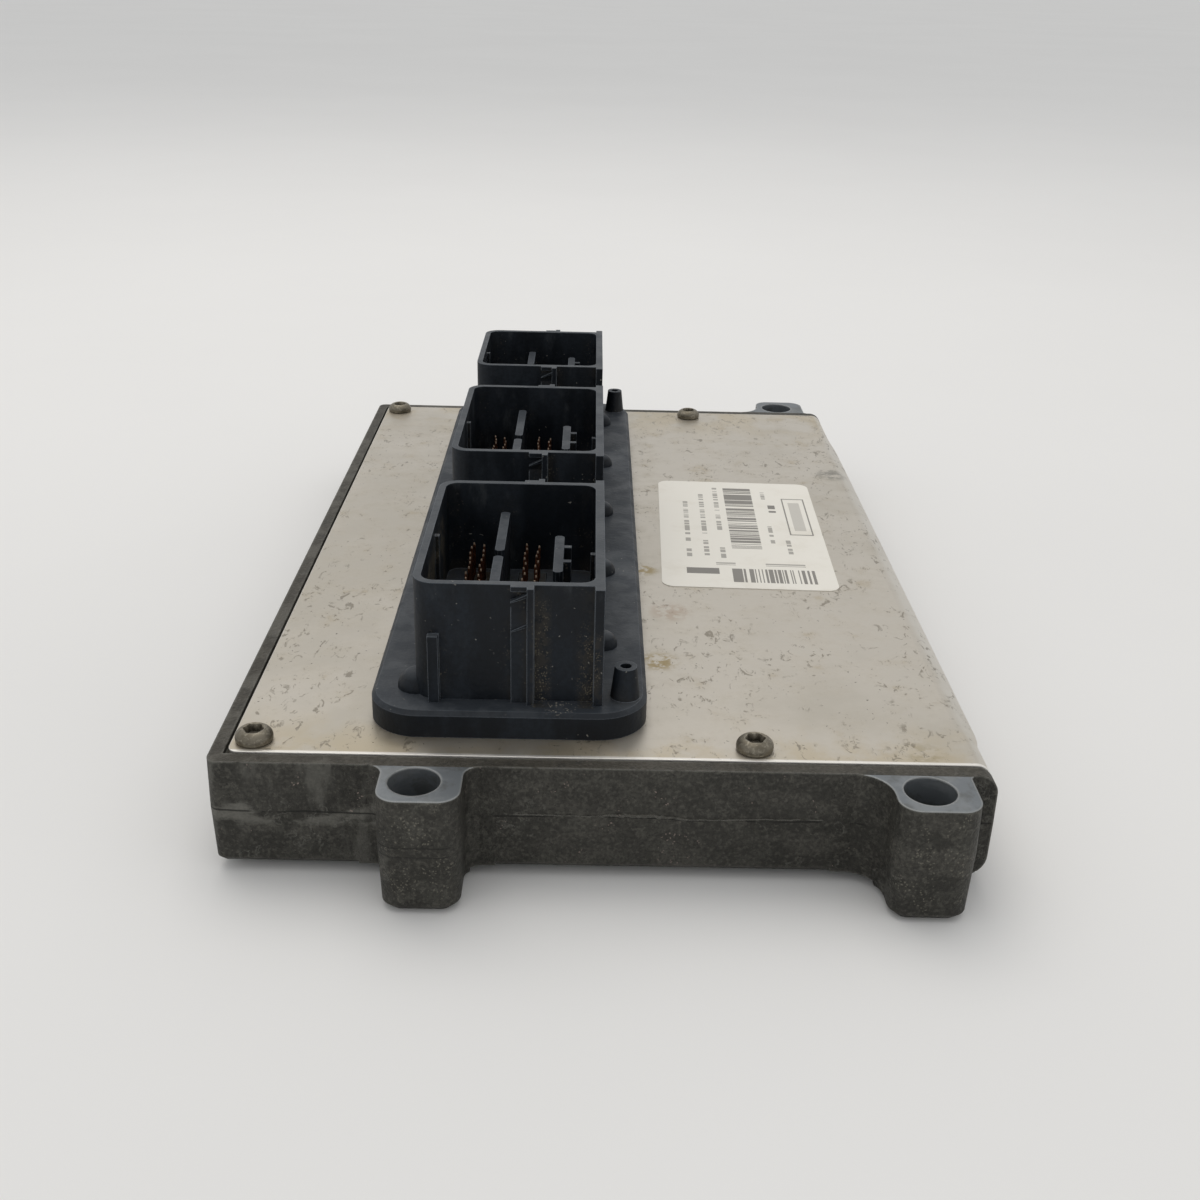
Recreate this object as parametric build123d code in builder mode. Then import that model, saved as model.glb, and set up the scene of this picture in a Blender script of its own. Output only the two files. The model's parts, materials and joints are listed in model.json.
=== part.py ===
"""Engine control unit: a die-cast tray with four bolt ears, a sheet cover rolled over one long
side, and a moulded header with three plug bays. Millimetres, +Z up, the ears stand on Z = 0.
X runs along the short side, Y along the long side away from the near ears."""

from build123d import *
from math import cos, pi, radians, sqrt, tan
import os

os.makedirs("parts", exist_ok=True)

# Tray, die-cast aluminium
body_length = 247.0         # along Y, over the two end walls
body_width = 158.0          # along X, over the left wall and the end walls' right edge
tray_depth = 24.4           # underside of the tray to the cover's top face
ear_drop = 2.0              # ears below the tray's underside
parting_drop = 11.4         # parting line below the cover's top face
draft_above = 1.0           # degrees, from the parting line up
draft_below = 2.2           # degrees, from the parting line down
upright_corner_r = 2.4      # left corners, seen from above
underside_edge = 1.3        # cut along the left, near and far edges of the underside
side_top_r = 4.0            # right side, upper rounding
side_bottom_r = 5.0         # right side, lower rounding
rim_width = 3.0             # left rim beside the cover
end_rim_width = 3.5         # near and far rims beside the cover
rim_below_cover = 0.3       # the rim's top lies this far below the cover's top face
ledge_width = 6.0           # ledge under the cover's edge, inside the rim
side_wall = 8.0             # solid right side that carries the rolled cover
side_shoulder_r = 4.0       # its upper edge, under the bend of the cover
floor_thickness = 2.6
pocket_corner_r = 5.0

# Bolt ears, two on each end wall
ear_width = 16.7
ear_reach = 13.3            # past the end wall
ear_corner_r = 4.5
ear_foot_chamfer = 1.7
ear_hole_from_edge = 7.2    # hole centre from the ear's left side
ear_hole_reach = 5.7        # hole centre past the end wall
ear_hole_r = 5.2
left_hole_x = 42.3          # hole centres from the left wall
right_hole_x = 142.8
ear_root = 3.0              # how far the ear's root runs into the wall
ear_blend_r = 3.0           # upright blend between ear and wall
ear_small_blend_r = 1.2     # right blend of the ears near the right corners
ear_blend_set = 0.06        # the blends run out this far inside the end wall's face
ear_wide_blend_r = 7.0      # left blend of the ears near the right corners
ear_root_rise = 0.5         # roots end this far above the tray's underside
ear_root_stop = 0.3         # and this far from the ear's own sides

# Cover, aluminium sheet
cover_thickness = 1.6
left_gap = 0.8              # visible groove between the left rim and the sheet
end_gap = 0.3               # the same at the near and far rims
sheet_corner_r = 2.0
end_bend_r = 3.2            # outer radius of the rolled side near its two ends
bulge_bend_r = 6.0          # outer radius along the bulged stretch
side_inset = 0.6            # rolled side inside the end walls' right edge, at its two ends
bulge = 1.2                 # bulged stretch past the end walls' right edge
skirt_drop = 17.0           # the rolled side ends this far below the cover's top face
near_bulge_start = 10.0     # S-bends, from the sheet's near and far ends
near_bulge_full = 18.0
far_bulge_start = 20.0
far_bulge_full = 36.0
bend_steps = 4              # sections through one S-bend
skirt_gap = 0.3             # rolled side to the casting behind it
bend_margin = 1.5           # flat strip that the rolled side starts from

# Cover screws
screw_from_left = 8.3
screw_spacing = 101.6
screw_from_end = 8.6
screw_r = 2.0
screw_head_r = 3.85
screw_head_height = 2.7
screw_length = 9.0
screw_boss_r = 4.6
socket_r = 1.5              # six-sided socket, over its flats
socket_depth = 1.5
clearance = 0.3

# Cover seal
seal_width = 1.4
seal_height = 1.0
seal_from_rim = 1.8         # centre line from the rim's inner face
seal_from_side = 5.0        # centre line from the casting's upright right side
seal_side_play = 0.1
seal_corner_cut = 1.4

# Header flange
flange_from_left = 30.5
flange_from_near = 10.8
flange_width = 57.7
flange_height = 5.85
flange_corner_r = 10.5
flange_edge = 0.9            # cut along the flange's upper edge
flange_margin = 5.75        # flange edge to the first and last shroud
shroud_from_flange = 9.4    # flange's left edge to the shrouds

# Header shrouds: two long bays and a short one
long_bay = 60.8
short_bay = 45.1
bay_gap = 22.45
shroud_width = 38.9
shroud_height = 32.0        # above the cover's top face
shroud_wall = 1.6
side_plate = 2.0            # right wall of each shroud
side_plate_reach = 2.0      # it runs past the front and back walls as corner ribs
shroud_corner_r = 4.6
shroud_inner_r = 3.0
bay_floor = 9.9             # floor of a bay above the cover's top face
floor_seat = 0.6            # the flange's openings end this far inside the bays' inner walls

# Guides on the front and back of each shroud
short_rib_x = 3.1           # from the shroud's left side
short_rib_width = 2.2
short_rib_reach = 1.6
short_rib_height = 15.0     # above the flange
tall_rib_x = 23.3
tall_rib_width = 1.4
tall_rib_reach = 2.2
lug_width = 3.3             # ramped lug left of the tall rib
lug_reach = 1.1
lug_height = 21.5           # above the flange, top of the ramp
lug_ramp = 4.0
brow_height = 1.1           # lip of the rim over the lug

# Inside a bay
row_pair_centre = 15.7      # middle of the four pin rows from the shroud's left side
divider_thickness = 2.1
bar_end_cut = 0.6            # cut on the upright edges of dividers and keys
divider_height = 16.2       # above the bay floor
divider_gap = 3.0
divider_end_gap = 3.4       # divider's ends to the inner walls
key_x = 28.9                # from the shroud's left side
key_thickness = 2.1
key_length = 20.8
key_height = 16.4
key_tab_spacing = 8.2
key_tab_reach = 1.7
key_tab_width = 1.3
inner_rib_width = 1.4
inner_rib_reach = 1.0

# Pins and the blocks that carry them
pin_size = 0.64
pin_pitch = 3.0
row_spacing = 2.85          # the two rows of a pair
pair_spacing = 12.8
pin_height = 18.2           # tips above the cover's top face
long_row = 18
short_row = 13
block_width = 6.4
block_end = 1.5             # block past the first and last pin
block_height = 5.0
block_step = 0.8            # wider foot that seats against the header
block_step_height = 2.0
block_play = 0.2

# Header below the cover
skirt_wall = 2.2
skirt_inset = 0.6           # header skirt inside the shrouds' outline
window_play = 0.4

# Posts, dimples and the corner scoop on the flange
post_from_flange_right = 4.7
post_from_shroud_end = 3.0
post_base_r = 3.2
post_top_r = 2.3
post_height = 7.0
post_hole_r = 1.2
dimple_r = 3.3
dimple_depth = 1.8
dimple_pitch = 41.45
dimple_from_shroud = 26.9   # first dimple from the first shroud's front
dimple_count = 5
scoop_r = 4.0
scoop_depth = 2.4
scoop_from_front = 6.0

# Header seal and header screws
header_seal_width = 1.6
header_seal_height = 1.2
header_seal_inset = 1.7     # centre line from the flange's edge
header_seal_cut = 5.5       # its corners are cut off
header_screw_r = 1.5
header_screw_head_r = 2.8
header_screw_head = 1.8
header_screw_length = 9.0

# Circuit board
board_thickness = 1.6
board_drop = 9.0            # board's top face below the cover's top face
board_play = 4.5            # board edge to the pocket's walls
board_corner_r = 3.0
board_screw_r = 1.5
board_screw_head_r = 2.8
board_screw_head = 2.0
board_screw_length = 8.0
standoff_r = 3.6
standoff_inset = 6.0        # screw centre from the board's edges

# Parts on the board
controller_size = 27.0
controller_height = 2.3
memory_length = 20.0
memory_width = 12.0
memory_height = 1.3
driver_length = 15.9
driver_width = 11.0
driver_height = 3.4
driver_count = 4
driver_pitch = 24.0
chip_spacing = 33.0         # memory and regulator from the controller, along Y
crystal_offset = 22.0
chip_cap_spread = 18.0
regulator_length = 13.0
regulator_width = 9.4
regulator_height = 4.4
crystal_length = 11.4
crystal_width = 4.7
crystal_height = 3.6
chip_cap_length = 3.2
chip_cap_width = 1.6
chip_cap_height = 1.4
chip_cap_count = 10
chip_cap_pitch = 6.0
can_r = 4.0
can_height = 9.0
can_count = 4
can_pitch = 14.0
choke_size = 12.5
choke_height = 7.0
choke_count = 2
choke_pitch = 20.0
choke_from_cans = 16.0
can_from_transistors = 24.0
transistor_width = 10.0
transistor_length = 9.2
transistor_height = 4.4
transistor_count = 8
transistor_pitch = 16.0
pad_thickness = 1.0

# Label
label_width = 45.7
label_length = 80.6
label_thickness = 0.15
label_corner_r = 3.2
label_from_flange = 7.35    # label's left side from the flange's right side
label_y = 129.5             # centre from the near wall
label_turn = -1.5           # degrees, it was stuck on slightly askew

# Places and levels worked out from the above
left = -(body_width + bulge) / 2
right = left + body_width
near = -body_length / 2
far = near + body_length
cover_top = ear_drop + tray_depth
cover_under = cover_top - cover_thickness
casting_top = cover_top - rim_below_cover
parting = cover_top - parting_drop
tray_floor = ear_drop + floor_thickness

sheet_left = left + rim_width + left_gap
sheet_near = near + end_rim_width + end_gap
sheet_far = far - end_rim_width - end_gap
side_face = right - side_inset                      # rolled side's outer face at its ends
side_casting = side_face - cover_thickness - skirt_gap
bend_start = right + bulge - bulge_bend_r - bend_margin
skirt_end = cover_top - skirt_drop

pocket_left = left + rim_width + ledge_width
pocket_right = side_casting - side_wall
pocket_near = near + end_rim_width + ledge_width
pocket_far = far - end_rim_width - ledge_width

flange_left = left + flange_from_left
flange_near = near + flange_from_near
flange_top = cover_top + flange_height
bay_lengths = [long_bay, long_bay, short_bay]
bay_rows = [long_row, long_row, short_row]
bay_names = ["near", "middle", "far"]
bay_fronts = [flange_near + flange_margin]
for bay_length in bay_lengths[:-1]:
    bay_fronts.append(bay_fronts[-1] + bay_length + bay_gap)
shrouds_near = bay_fronts[0]
shrouds_far = bay_fronts[-1] + bay_lengths[-1]
flange_length = shrouds_far - shrouds_near + 2 * flange_margin
flange_x = flange_left + flange_width / 2
flange_y = flange_near + flange_length / 2
shroud_left = flange_left + shroud_from_flange
shroud_right = shroud_left + shroud_width
shroud_x = shroud_left + shroud_width / 2
shroud_top = cover_top + shroud_height
bay_floor_z = cover_top + bay_floor
bay_left = shroud_left + shroud_wall
bay_right = shroud_right - side_plate
bay_x = (bay_left + bay_right) / 2
pin_x = shroud_left + row_pair_centre
skirt_length = shrouds_far - shrouds_near - 2 * skirt_inset
skirt_width = shroud_width - 2 * skirt_inset
post_x = flange_left + flange_width - post_from_flange_right
posts = [(post_x, shrouds_near + post_from_shroud_end), (post_x, shrouds_far - post_from_shroud_end)]

board_top = cover_top - board_drop
board_under = board_top - board_thickness
board_left = pocket_left + board_play
board_right = pocket_right - board_play
board_near = pocket_near + board_play
board_far = pocket_far - board_play
board_x = (board_left + board_right) / 2
board_y = (board_near + board_far) / 2
standoff_xs = [board_left + standoff_inset, board_right - standoff_inset]
standoff_ys = [board_near + standoff_inset, board_y, board_far - standoff_inset]
standoffs = [(x, y) for x in standoff_xs for y in standoff_ys]
cover_screw_places = [
    (left + screw_from_left + column * screw_spacing, y)
    for column in (0, 1)
    for y in (near + screw_from_end, far - screw_from_end)
]
pedestal_top = board_under - transistor_height - pad_thickness
ear_holes = [
    (left + x, y)
    for x in (left_hole_x, right_hole_x)
    for y in (near - ear_hole_reach, far + ear_hole_reach)
]
transistor_x = board_right - standoff_inset - standoff_r - transistor_width
transistor_ys = [
    board_y + (index - (transistor_count - 1) / 2) * transistor_pitch
    for index in range(transistor_count)
]
label_x = flange_left + flange_width + label_from_flange + label_width / 2
component_x = (shroud_right + board_right) / 2      # middle of the board beside the header
component_y = (standoff_ys[1] + standoff_ys[2]) / 2
driver_x = (board_left + shroud_left) / 2
can_x = transistor_x - can_from_transistors
choke_x = can_x - choke_from_cans


def box_between(x_1, x_2, y_1, y_2, z_1, z_2, mode=Mode.ADD):
    """Block between two corners."""
    with Locations(((x_1 + x_2) / 2, (y_1 + y_2) / 2, (z_1 + z_2) / 2)):
        Box(abs(x_2 - x_1), abs(y_2 - y_1), abs(z_2 - z_1), mode=mode)


def ear_plan(hole_x, left_blend, right_blend, level):
    """Section of a near ear at one level, with the root that blends it into the end wall."""
    draft = draft_above if level > parting else draft_below
    inset = abs(level - parting) * tan(radians(draft))
    ear_left = left + hole_x - ear_hole_from_edge + inset
    ear_right = left + hole_x - ear_hole_from_edge + ear_width - inset
    foot = near + ear_blend_set + inset
    root = near + ear_root
    tip = near - ear_reach + inset
    with BuildSketch(Plane.XY.offset(level)) as plan:
        with BuildLine():
            Polyline(
                (ear_left - left_blend - ear_root, root),
                (ear_left - left_blend - ear_root, foot),
                (ear_left, foot),
                (ear_left, tip),
                (ear_right, tip),
                (ear_right, foot),
                (ear_right + right_blend + ear_root, foot),
                (ear_right + right_blend + ear_root, root),
                close=True,
            )
        make_face()
        fillet(plan.vertices().sort_by_distance((ear_left, tip))[0], ear_corner_r - inset)
        fillet(plan.vertices().sort_by_distance((ear_right, tip))[0], ear_corner_r - inset)
        fillet(plan.vertices().sort_by_distance((ear_left, foot))[0], left_blend + inset)
        fillet(plan.vertices().sort_by_distance((ear_right, foot))[0], right_blend + inset)
    return plan.sketch


def six_sided(places, radius, level):
    """Six-sided plans for the shanks and holes of screws, each with its radius over the flats."""
    with BuildSketch(Plane.XY.offset(level)) as plan:
        with Locations(*places):
            RegularPolygon(radius, 6, major_radius=False)
    return plan.sketch


def cut_rectangle(x, y, width, length, cut, level):
    """Rectangle with its corners cut off."""
    with BuildSketch(Plane.XY.offset(level)) as plan:
        with Locations((x, y)):
            Rectangle(width, length)
        chamfer(plan.vertices(), cut)
    return plan.sketch


def seal_ring(x, y, width, length, cut, band, bottom, height):
    """Closed ring of one band along a rectangular centre line with cut corners."""
    with BuildPart() as ring:
        for side, mode in ((band / 2, Mode.ADD), (-band / 2, Mode.SUBTRACT)):
            corner = cut + side * (2 - sqrt(2))
            plan = cut_rectangle(x, y, width + 2 * side, length + 2 * side, corner, bottom)
            extrude(plan, amount=height, mode=mode)
    return ring.part


def cover_seal_ring(band):
    """Ring on the ledge under the cover's edge."""
    ring_left = left + rim_width + seal_from_rim
    ring_right = side_casting - seal_from_side
    ring_near = near + end_rim_width + seal_from_rim
    return seal_ring((ring_left + ring_right) / 2, 0, ring_right - ring_left, -2 * ring_near,
                     seal_corner_cut, band, cover_under - seal_height, seal_height)


def header_seal_ring(band):
    """Ring in the flange's underside."""
    ring_width = flange_width - 2 * header_seal_inset
    ring_length = flange_length - 2 * header_seal_inset
    return seal_ring(flange_x, flange_y, ring_width, ring_length, header_seal_cut, band,
                     cover_top, header_seal_height)


# Ears: drafted both ways from the parting line, with chamfered feet
ears = []
ear_blends = [
    (left_hole_x, ear_blend_r, ear_blend_r),
    (right_hole_x, ear_wide_blend_r, ear_small_blend_r),
]
for hole_x, left_blend, right_blend in ear_blends:
    sections = [ear_plan(hole_x, left_blend, right_blend, z) for z in (0, parting, casting_top)]
    with BuildPart() as ear:
        loft(sections[:2])
        loft(sections[1:])
        foot_edges = ear.faces().sort_by(Axis.Z)[0].edges()
        tip_edges = foot_edges.filter_by_position(Axis.Y, near - 2 * ear_reach, near - left_blend)
        chamfer(tip_edges, ear_foot_chamfer)
        ear_left = left + hole_x - ear_hole_from_edge
        root_top = ear_drop + ear_root_rise
        box_between(ear_left - ear_root_stop, ear_left - 2 * left_blend - ear_root,
                    near - left_blend, near + 2 * ear_root, -ear_drop, root_top, Mode.SUBTRACT)
        box_between(ear_left + ear_width + ear_root_stop, ear_left + ear_width + 2 * right_blend + ear_root,
                    near - right_blend, near + 2 * ear_root, -ear_drop, root_top, Mode.SUBTRACT)
    ears += [ear.part, mirror(ear.part, about=Plane.XZ)]

# Tray: two drafted halves that meet at the parting line, hollowed from above
with BuildPart() as housing:
    for amount, draft in ((casting_top - parting, draft_above), (ear_drop - parting, draft_below)):
        with BuildSketch(Plane.XY.offset(parting)) as tray_plan:
            with Locations((left, 0)):
                Rectangle(body_width + side_bottom_r, body_length, align=(Align.MIN, Align.CENTER))
            fillet(tray_plan.vertices(), upright_corner_r)
        extrude(amount=amount, taper=draft)
    chamfer(housing.faces().sort_by(Axis.Z)[0].edges(), underside_edge)
    for ear in ears:
        add(ear)
    with BuildSketch(Plane.XZ) as side_profile:
        with Locations((right, ear_drop)):
            Rectangle(2 * body_width, casting_top - ear_drop, align=(Align.MAX, Align.MIN))
        fillet(side_profile.vertices().sort_by_distance((right, ear_drop))[0], side_bottom_r)
        fillet(side_profile.vertices().sort_by_distance((right, casting_top))[0], side_top_r)
        with Locations((right - side_bottom_r, -ear_drop)):
            Rectangle(2 * body_width, casting_top, align=(Align.MAX, Align.MIN))
    extrude(amount=body_length, both=True, mode=Mode.INTERSECT)

    # Seat of the cover sheet, open on the right where the sheet rolls over the side
    box_between(left + rim_width, right + bulge, near + end_rim_width, far - end_rim_width,
                cover_under, cover_top, Mode.SUBTRACT)
    box_between(side_casting, right + bulge, near + end_rim_width, far - end_rim_width,
                skirt_end - skirt_gap, cover_top, Mode.SUBTRACT)
    shoulder_edges = housing.edges().filter_by(Axis.Y).sort_by_distance((side_casting, 0, cover_under))
    fillet(shoulder_edges[0], side_shoulder_r)

    # Pocket for the board
    with BuildSketch(Plane.XY.offset(tray_floor)) as pocket_plan:
        with Locations(((pocket_left + pocket_right) / 2, 0)):
            RectangleRounded(pocket_right - pocket_left, pocket_far - pocket_near, pocket_corner_r)
    extrude(amount=tray_depth, mode=Mode.SUBTRACT)

    # Screw bosses at the pocket's edge, board standoffs and the pads' pedestals
    with Locations(*[(x, y, tray_floor) for x, y in cover_screw_places]):
        Cylinder(screw_boss_r, cover_under - tray_floor, align=(Align.CENTER, Align.CENTER, Align.MIN))
    extrude(six_sided(standoffs, standoff_r, tray_floor), amount=board_under - tray_floor)
    with Locations(*[(transistor_x, y, tray_floor) for y in transistor_ys]):
        Box(transistor_width, transistor_length, pedestal_top - tray_floor,
            align=(Align.CENTER, Align.CENTER, Align.MIN))

    # Seal groove, screw holes and ear holes
    add(cover_seal_ring(seal_width + 2 * seal_side_play), mode=Mode.SUBTRACT)
    extrude(six_sided(cover_screw_places, screw_r + clearance / 2, cover_under),
            amount=-screw_length, mode=Mode.SUBTRACT)
    extrude(six_sided(standoffs, board_screw_r + clearance / 2, board_under),
            amount=-board_screw_length, mode=Mode.SUBTRACT)
    for x, y in ear_holes:
        with Locations((x, y, casting_top)):
            Hole(ear_hole_r, depth=casting_top)

housing.part.label = "housing"
export_step(housing.part, "parts/housing.step")


def side_section(y, amount):
    """Section of the rolled side at one place along Y; amount 0 is plain, 1 fully bulged."""
    outer = side_face + amount * (right + bulge - side_face)
    bend_r = end_bend_r + amount * (bulge_bend_r - end_bend_r)
    inner_r = bend_r - cover_thickness
    with BuildSketch(Plane.XZ.offset(-y)) as section:
        with BuildLine():
            Line((bend_start, cover_under), (bend_start, cover_top))
            Line((bend_start, cover_top), (outer - bend_r, cover_top))
            RadiusArc((outer - bend_r, cover_top), (outer, cover_top - bend_r), bend_r)
            Line((outer, cover_top - bend_r), (outer, skirt_end))
            Line((outer, skirt_end), (outer - cover_thickness, skirt_end))
            Line((outer - cover_thickness, skirt_end), (outer - cover_thickness, cover_top - bend_r))
            RadiusArc((outer - cover_thickness, cover_top - bend_r), (outer - bend_r, cover_under), -inner_r)
            Line((outer - bend_r, cover_under), (bend_start, cover_under))
        make_face()
    return section.sketch


def s_bend(y_from, y_to, rising):
    """Sections through one S-bend of the rolled side."""
    sections = []
    for step in range(bend_steps + 1):
        share = step / bend_steps
        amount = (1 - cos(pi * share)) / 2
        sections.append(side_section(y_from + share * (y_to - y_from), amount if rising else 1 - amount))
    return sections


# Cover: a flat sheet, its right side rolled down over the casting and bulged between S-bends
with BuildPart() as cover_plate:
    with BuildSketch(Plane.XY.offset(cover_under)):
        with Locations(((sheet_left + bend_start) / 2, 0)):
            sheet_plan = Rectangle(bend_start - sheet_left, sheet_far - sheet_near)
        fillet(sheet_plan.vertices().group_by(Axis.X)[0], sheet_corner_r)
    extrude(amount=cover_thickness)
    stations = [
        sheet_near,
        sheet_near + near_bulge_start,
        sheet_near + near_bulge_full,
        sheet_far - far_bulge_full,
        sheet_far - far_bulge_start,
        sheet_far,
    ]
    loft([side_section(stations[0], 0), side_section(stations[1], 0)], ruled=True)
    loft(s_bend(stations[1], stations[2], True), ruled=True)
    loft([side_section(stations[2], 1), side_section(stations[3], 1)], ruled=True)
    loft(s_bend(stations[3], stations[4], False), ruled=True)
    loft([side_section(stations[4], 0), side_section(stations[5], 0)], ruled=True)
    with BuildSketch(Plane.XY.offset(cover_top)):
        with Locations((shroud_x, flange_y)):
            RectangleRounded(skirt_width + 2 * window_play, skirt_length + 2 * window_play, shroud_inner_r)
    extrude(amount=-cover_thickness, mode=Mode.SUBTRACT)
    extrude(six_sided(cover_screw_places, screw_r + clearance, cover_top),
            amount=-cover_thickness, mode=Mode.SUBTRACT)
    extrude(six_sided(posts, header_screw_r + clearance, cover_top),
            amount=-cover_thickness, mode=Mode.SUBTRACT)

cover_plate.part.label = "cover_plate"
export_step(cover_plate.part, "parts/cover_plate.step")

cover_seal = cover_seal_ring(seal_width)
cover_seal.label = "cover_seal"
export_step(cover_seal, "parts/cover_seal.step")


# Cover screws: pan heads with a socket
with BuildPart() as cover_screws:
    with BuildSketch(Plane.XY.offset(cover_top)):
        with Locations(*cover_screw_places):
            Circle(screw_head_r)
    extrude(amount=screw_head_height)
    extrude(six_sided(cover_screw_places, socket_r, cover_top + screw_head_height),
            amount=-socket_depth, mode=Mode.SUBTRACT)
    extrude(six_sided(cover_screw_places, screw_r, cover_top),
            amount=-(cover_thickness + screw_length - clearance))

cover_screws.part.label = "cover_screws"
export_step(cover_screws.part, "parts/cover_screws.step")


def bay_guides(front, back):
    """Ribs, ramped lug and brow on both end faces of one shroud."""
    for face, outward in ((front, -1), (back, 1)):
        short_left = shroud_left + short_rib_x
        box_between(short_left, short_left + short_rib_width, face, face + outward * short_rib_reach,
                    flange_top, flange_top + short_rib_height)
        tall_left = shroud_left + tall_rib_x
        box_between(tall_left, tall_left + tall_rib_width, face, face + outward * tall_rib_reach,
                    flange_top, shroud_top)
        box_between(tall_left - lug_width, tall_left, face, face + outward * lug_reach,
                    shroud_top - brow_height, shroud_top)
        lug_top = flange_top + lug_height
        with BuildSketch(Plane.YZ.offset(tall_left)) as lug_side:
            with BuildLine():
                Polyline(
                    (face, flange_top),
                    (face, lug_top),
                    (face + outward * lug_reach, lug_top - lug_ramp),
                    (face + outward * lug_reach, flange_top),
                    close=True,
                )
            make_face()
        extrude(lug_side.sketch, amount=-lug_width)


def bay_keys(front, length):
    """Divider in two lengths, key bar with its tabs and the ribs on the inner walls."""
    middle = front + length / 2
    half_divider = (length - 2 * shroud_wall) / 2 - divider_end_gap
    for side in (-1, 1):
        divider_y = middle + side * (half_divider + divider_gap / 2) / 2
        divider_length = half_divider - divider_gap / 2
        extrude(cut_rectangle(pin_x, divider_y, divider_thickness, divider_length, bar_end_cut, bay_floor_z),
                amount=divider_height)
    key_middle = shroud_left + key_x
    extrude(cut_rectangle(key_middle, middle, key_thickness, key_length, bar_end_cut, bay_floor_z),
            amount=key_height)
    for side in (-1, 1):
        tab_y = middle + side * key_tab_spacing / 2
        box_between(key_middle, key_middle + key_thickness / 2 + key_tab_reach, tab_y - key_tab_width / 2,
                    tab_y + key_tab_width / 2, bay_floor_z, bay_floor_z + key_height)
    box_between(bay_left, bay_left + inner_rib_reach, middle, middle + inner_rib_width,
                bay_floor_z, shroud_top - short_rib_width)
    box_between(bay_right - inner_rib_reach, bay_right, middle, middle + inner_rib_width,
                bay_floor_z, bay_floor_z + divider_height)


def bay_pin_rows(pins):
    """Rows of one bay as (x, pins in the row): two pairs, the second row of a pair one pin shorter."""
    return [
        (pin_x + pair * pair_spacing / 2 + row * row_spacing / 2, count)
        for pair in (-1, 1)
        for row, count in ((-1, pins), (1, pins - 1))
    ]


def block_plan(front, length, pins, grow, level):
    """Outline of the two pin blocks of one bay, grown by a margin."""
    block_length = (pins - 1) * pin_pitch + 2 * block_end
    with BuildSketch(Plane.XY.offset(level)) as plan:
        with Locations(*[(pin_x + pair * pair_spacing / 2, front + length / 2) for pair in (-1, 1)]):
            Rectangle(block_width + 2 * grow, block_length + 2 * grow)
    return plan.sketch


def bay_plan(front, length, level):
    """Outline of one bay's inner walls."""
    with BuildSketch(Plane.XY.offset(level)) as plan:
        with Locations((bay_x, front + length / 2)):
            RectangleRounded(bay_right - bay_left, length - 2 * shroud_wall, shroud_inner_r)
    return plan.sketch


# Header: flange on the cover, open under each bay, with a skirt down to the board
with BuildPart() as connector_header:
    with BuildSketch(Plane.XY.offset(cover_top)):
        with Locations((flange_x, flange_y)):
            RectangleRounded(flange_width, flange_length, flange_corner_r)
    extrude(amount=flange_height)
    chamfer(connector_header.faces().sort_by(Axis.Z)[-1].edges(), flange_edge)
    with BuildSketch(Plane.XY.offset(board_top)):
        with Locations((shroud_x, flange_y)):
            RectangleRounded(skirt_width, skirt_length, shroud_inner_r)
            Rectangle(skirt_width - 2 * skirt_wall, skirt_length - 2 * skirt_wall, mode=Mode.SUBTRACT)
    extrude(amount=board_drop)
    for front, length in zip(bay_fronts, bay_lengths):
        opening_width = bay_right - bay_left - 2 * floor_seat
        opening_length = length - 2 * shroud_wall - 2 * floor_seat
        middle = front + length / 2
        opening = cut_rectangle(bay_x, middle, opening_width, opening_length, floor_seat, cover_top)
        extrude(opening, amount=flange_height, mode=Mode.SUBTRACT)

    # Hollow posts, dimples beside the shrouds and the scoop at the near left corner
    for x, y in posts:
        with Locations((x, y, flange_top - flange_edge)):
            Cone(post_base_r, post_top_r, post_height + flange_edge,
                 align=(Align.CENTER, Align.CENTER, Align.MIN))
        with Locations((x, y, flange_top + post_height)):
            Hole(post_hole_r, depth=flange_height + post_height)
    extrude(six_sided(posts, header_screw_r + clearance, cover_top),
            amount=header_screw_length, mode=Mode.SUBTRACT)
    with BuildSketch(Plane.XY.offset(flange_top)):
        for index in range(dimple_count):
            with Locations((shroud_right, shrouds_near + dimple_from_shroud + index * dimple_pitch)):
                Circle(dimple_r)
        with Locations((shroud_x, flange_y)):
            Rectangle(shroud_width, flange_length, mode=Mode.SUBTRACT)
    extrude(amount=-dimple_depth, mode=Mode.SUBTRACT)
    with BuildSketch(Plane.XY.offset(flange_top)):
        with Locations((shroud_left, shrouds_near + scoop_from_front)):
            Circle(scoop_r)
        with Locations((shroud_x, shrouds_near + long_bay / 2)):
            Rectangle(shroud_width, long_bay, mode=Mode.SUBTRACT)
    extrude(amount=-scoop_depth, mode=Mode.SUBTRACT)
    add(header_seal_ring(header_seal_width + 2 * seal_side_play), mode=Mode.SUBTRACT)

connector_header.part.label = "connector_header"
export_step(connector_header.part, "parts/connector_header.step")

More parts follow.
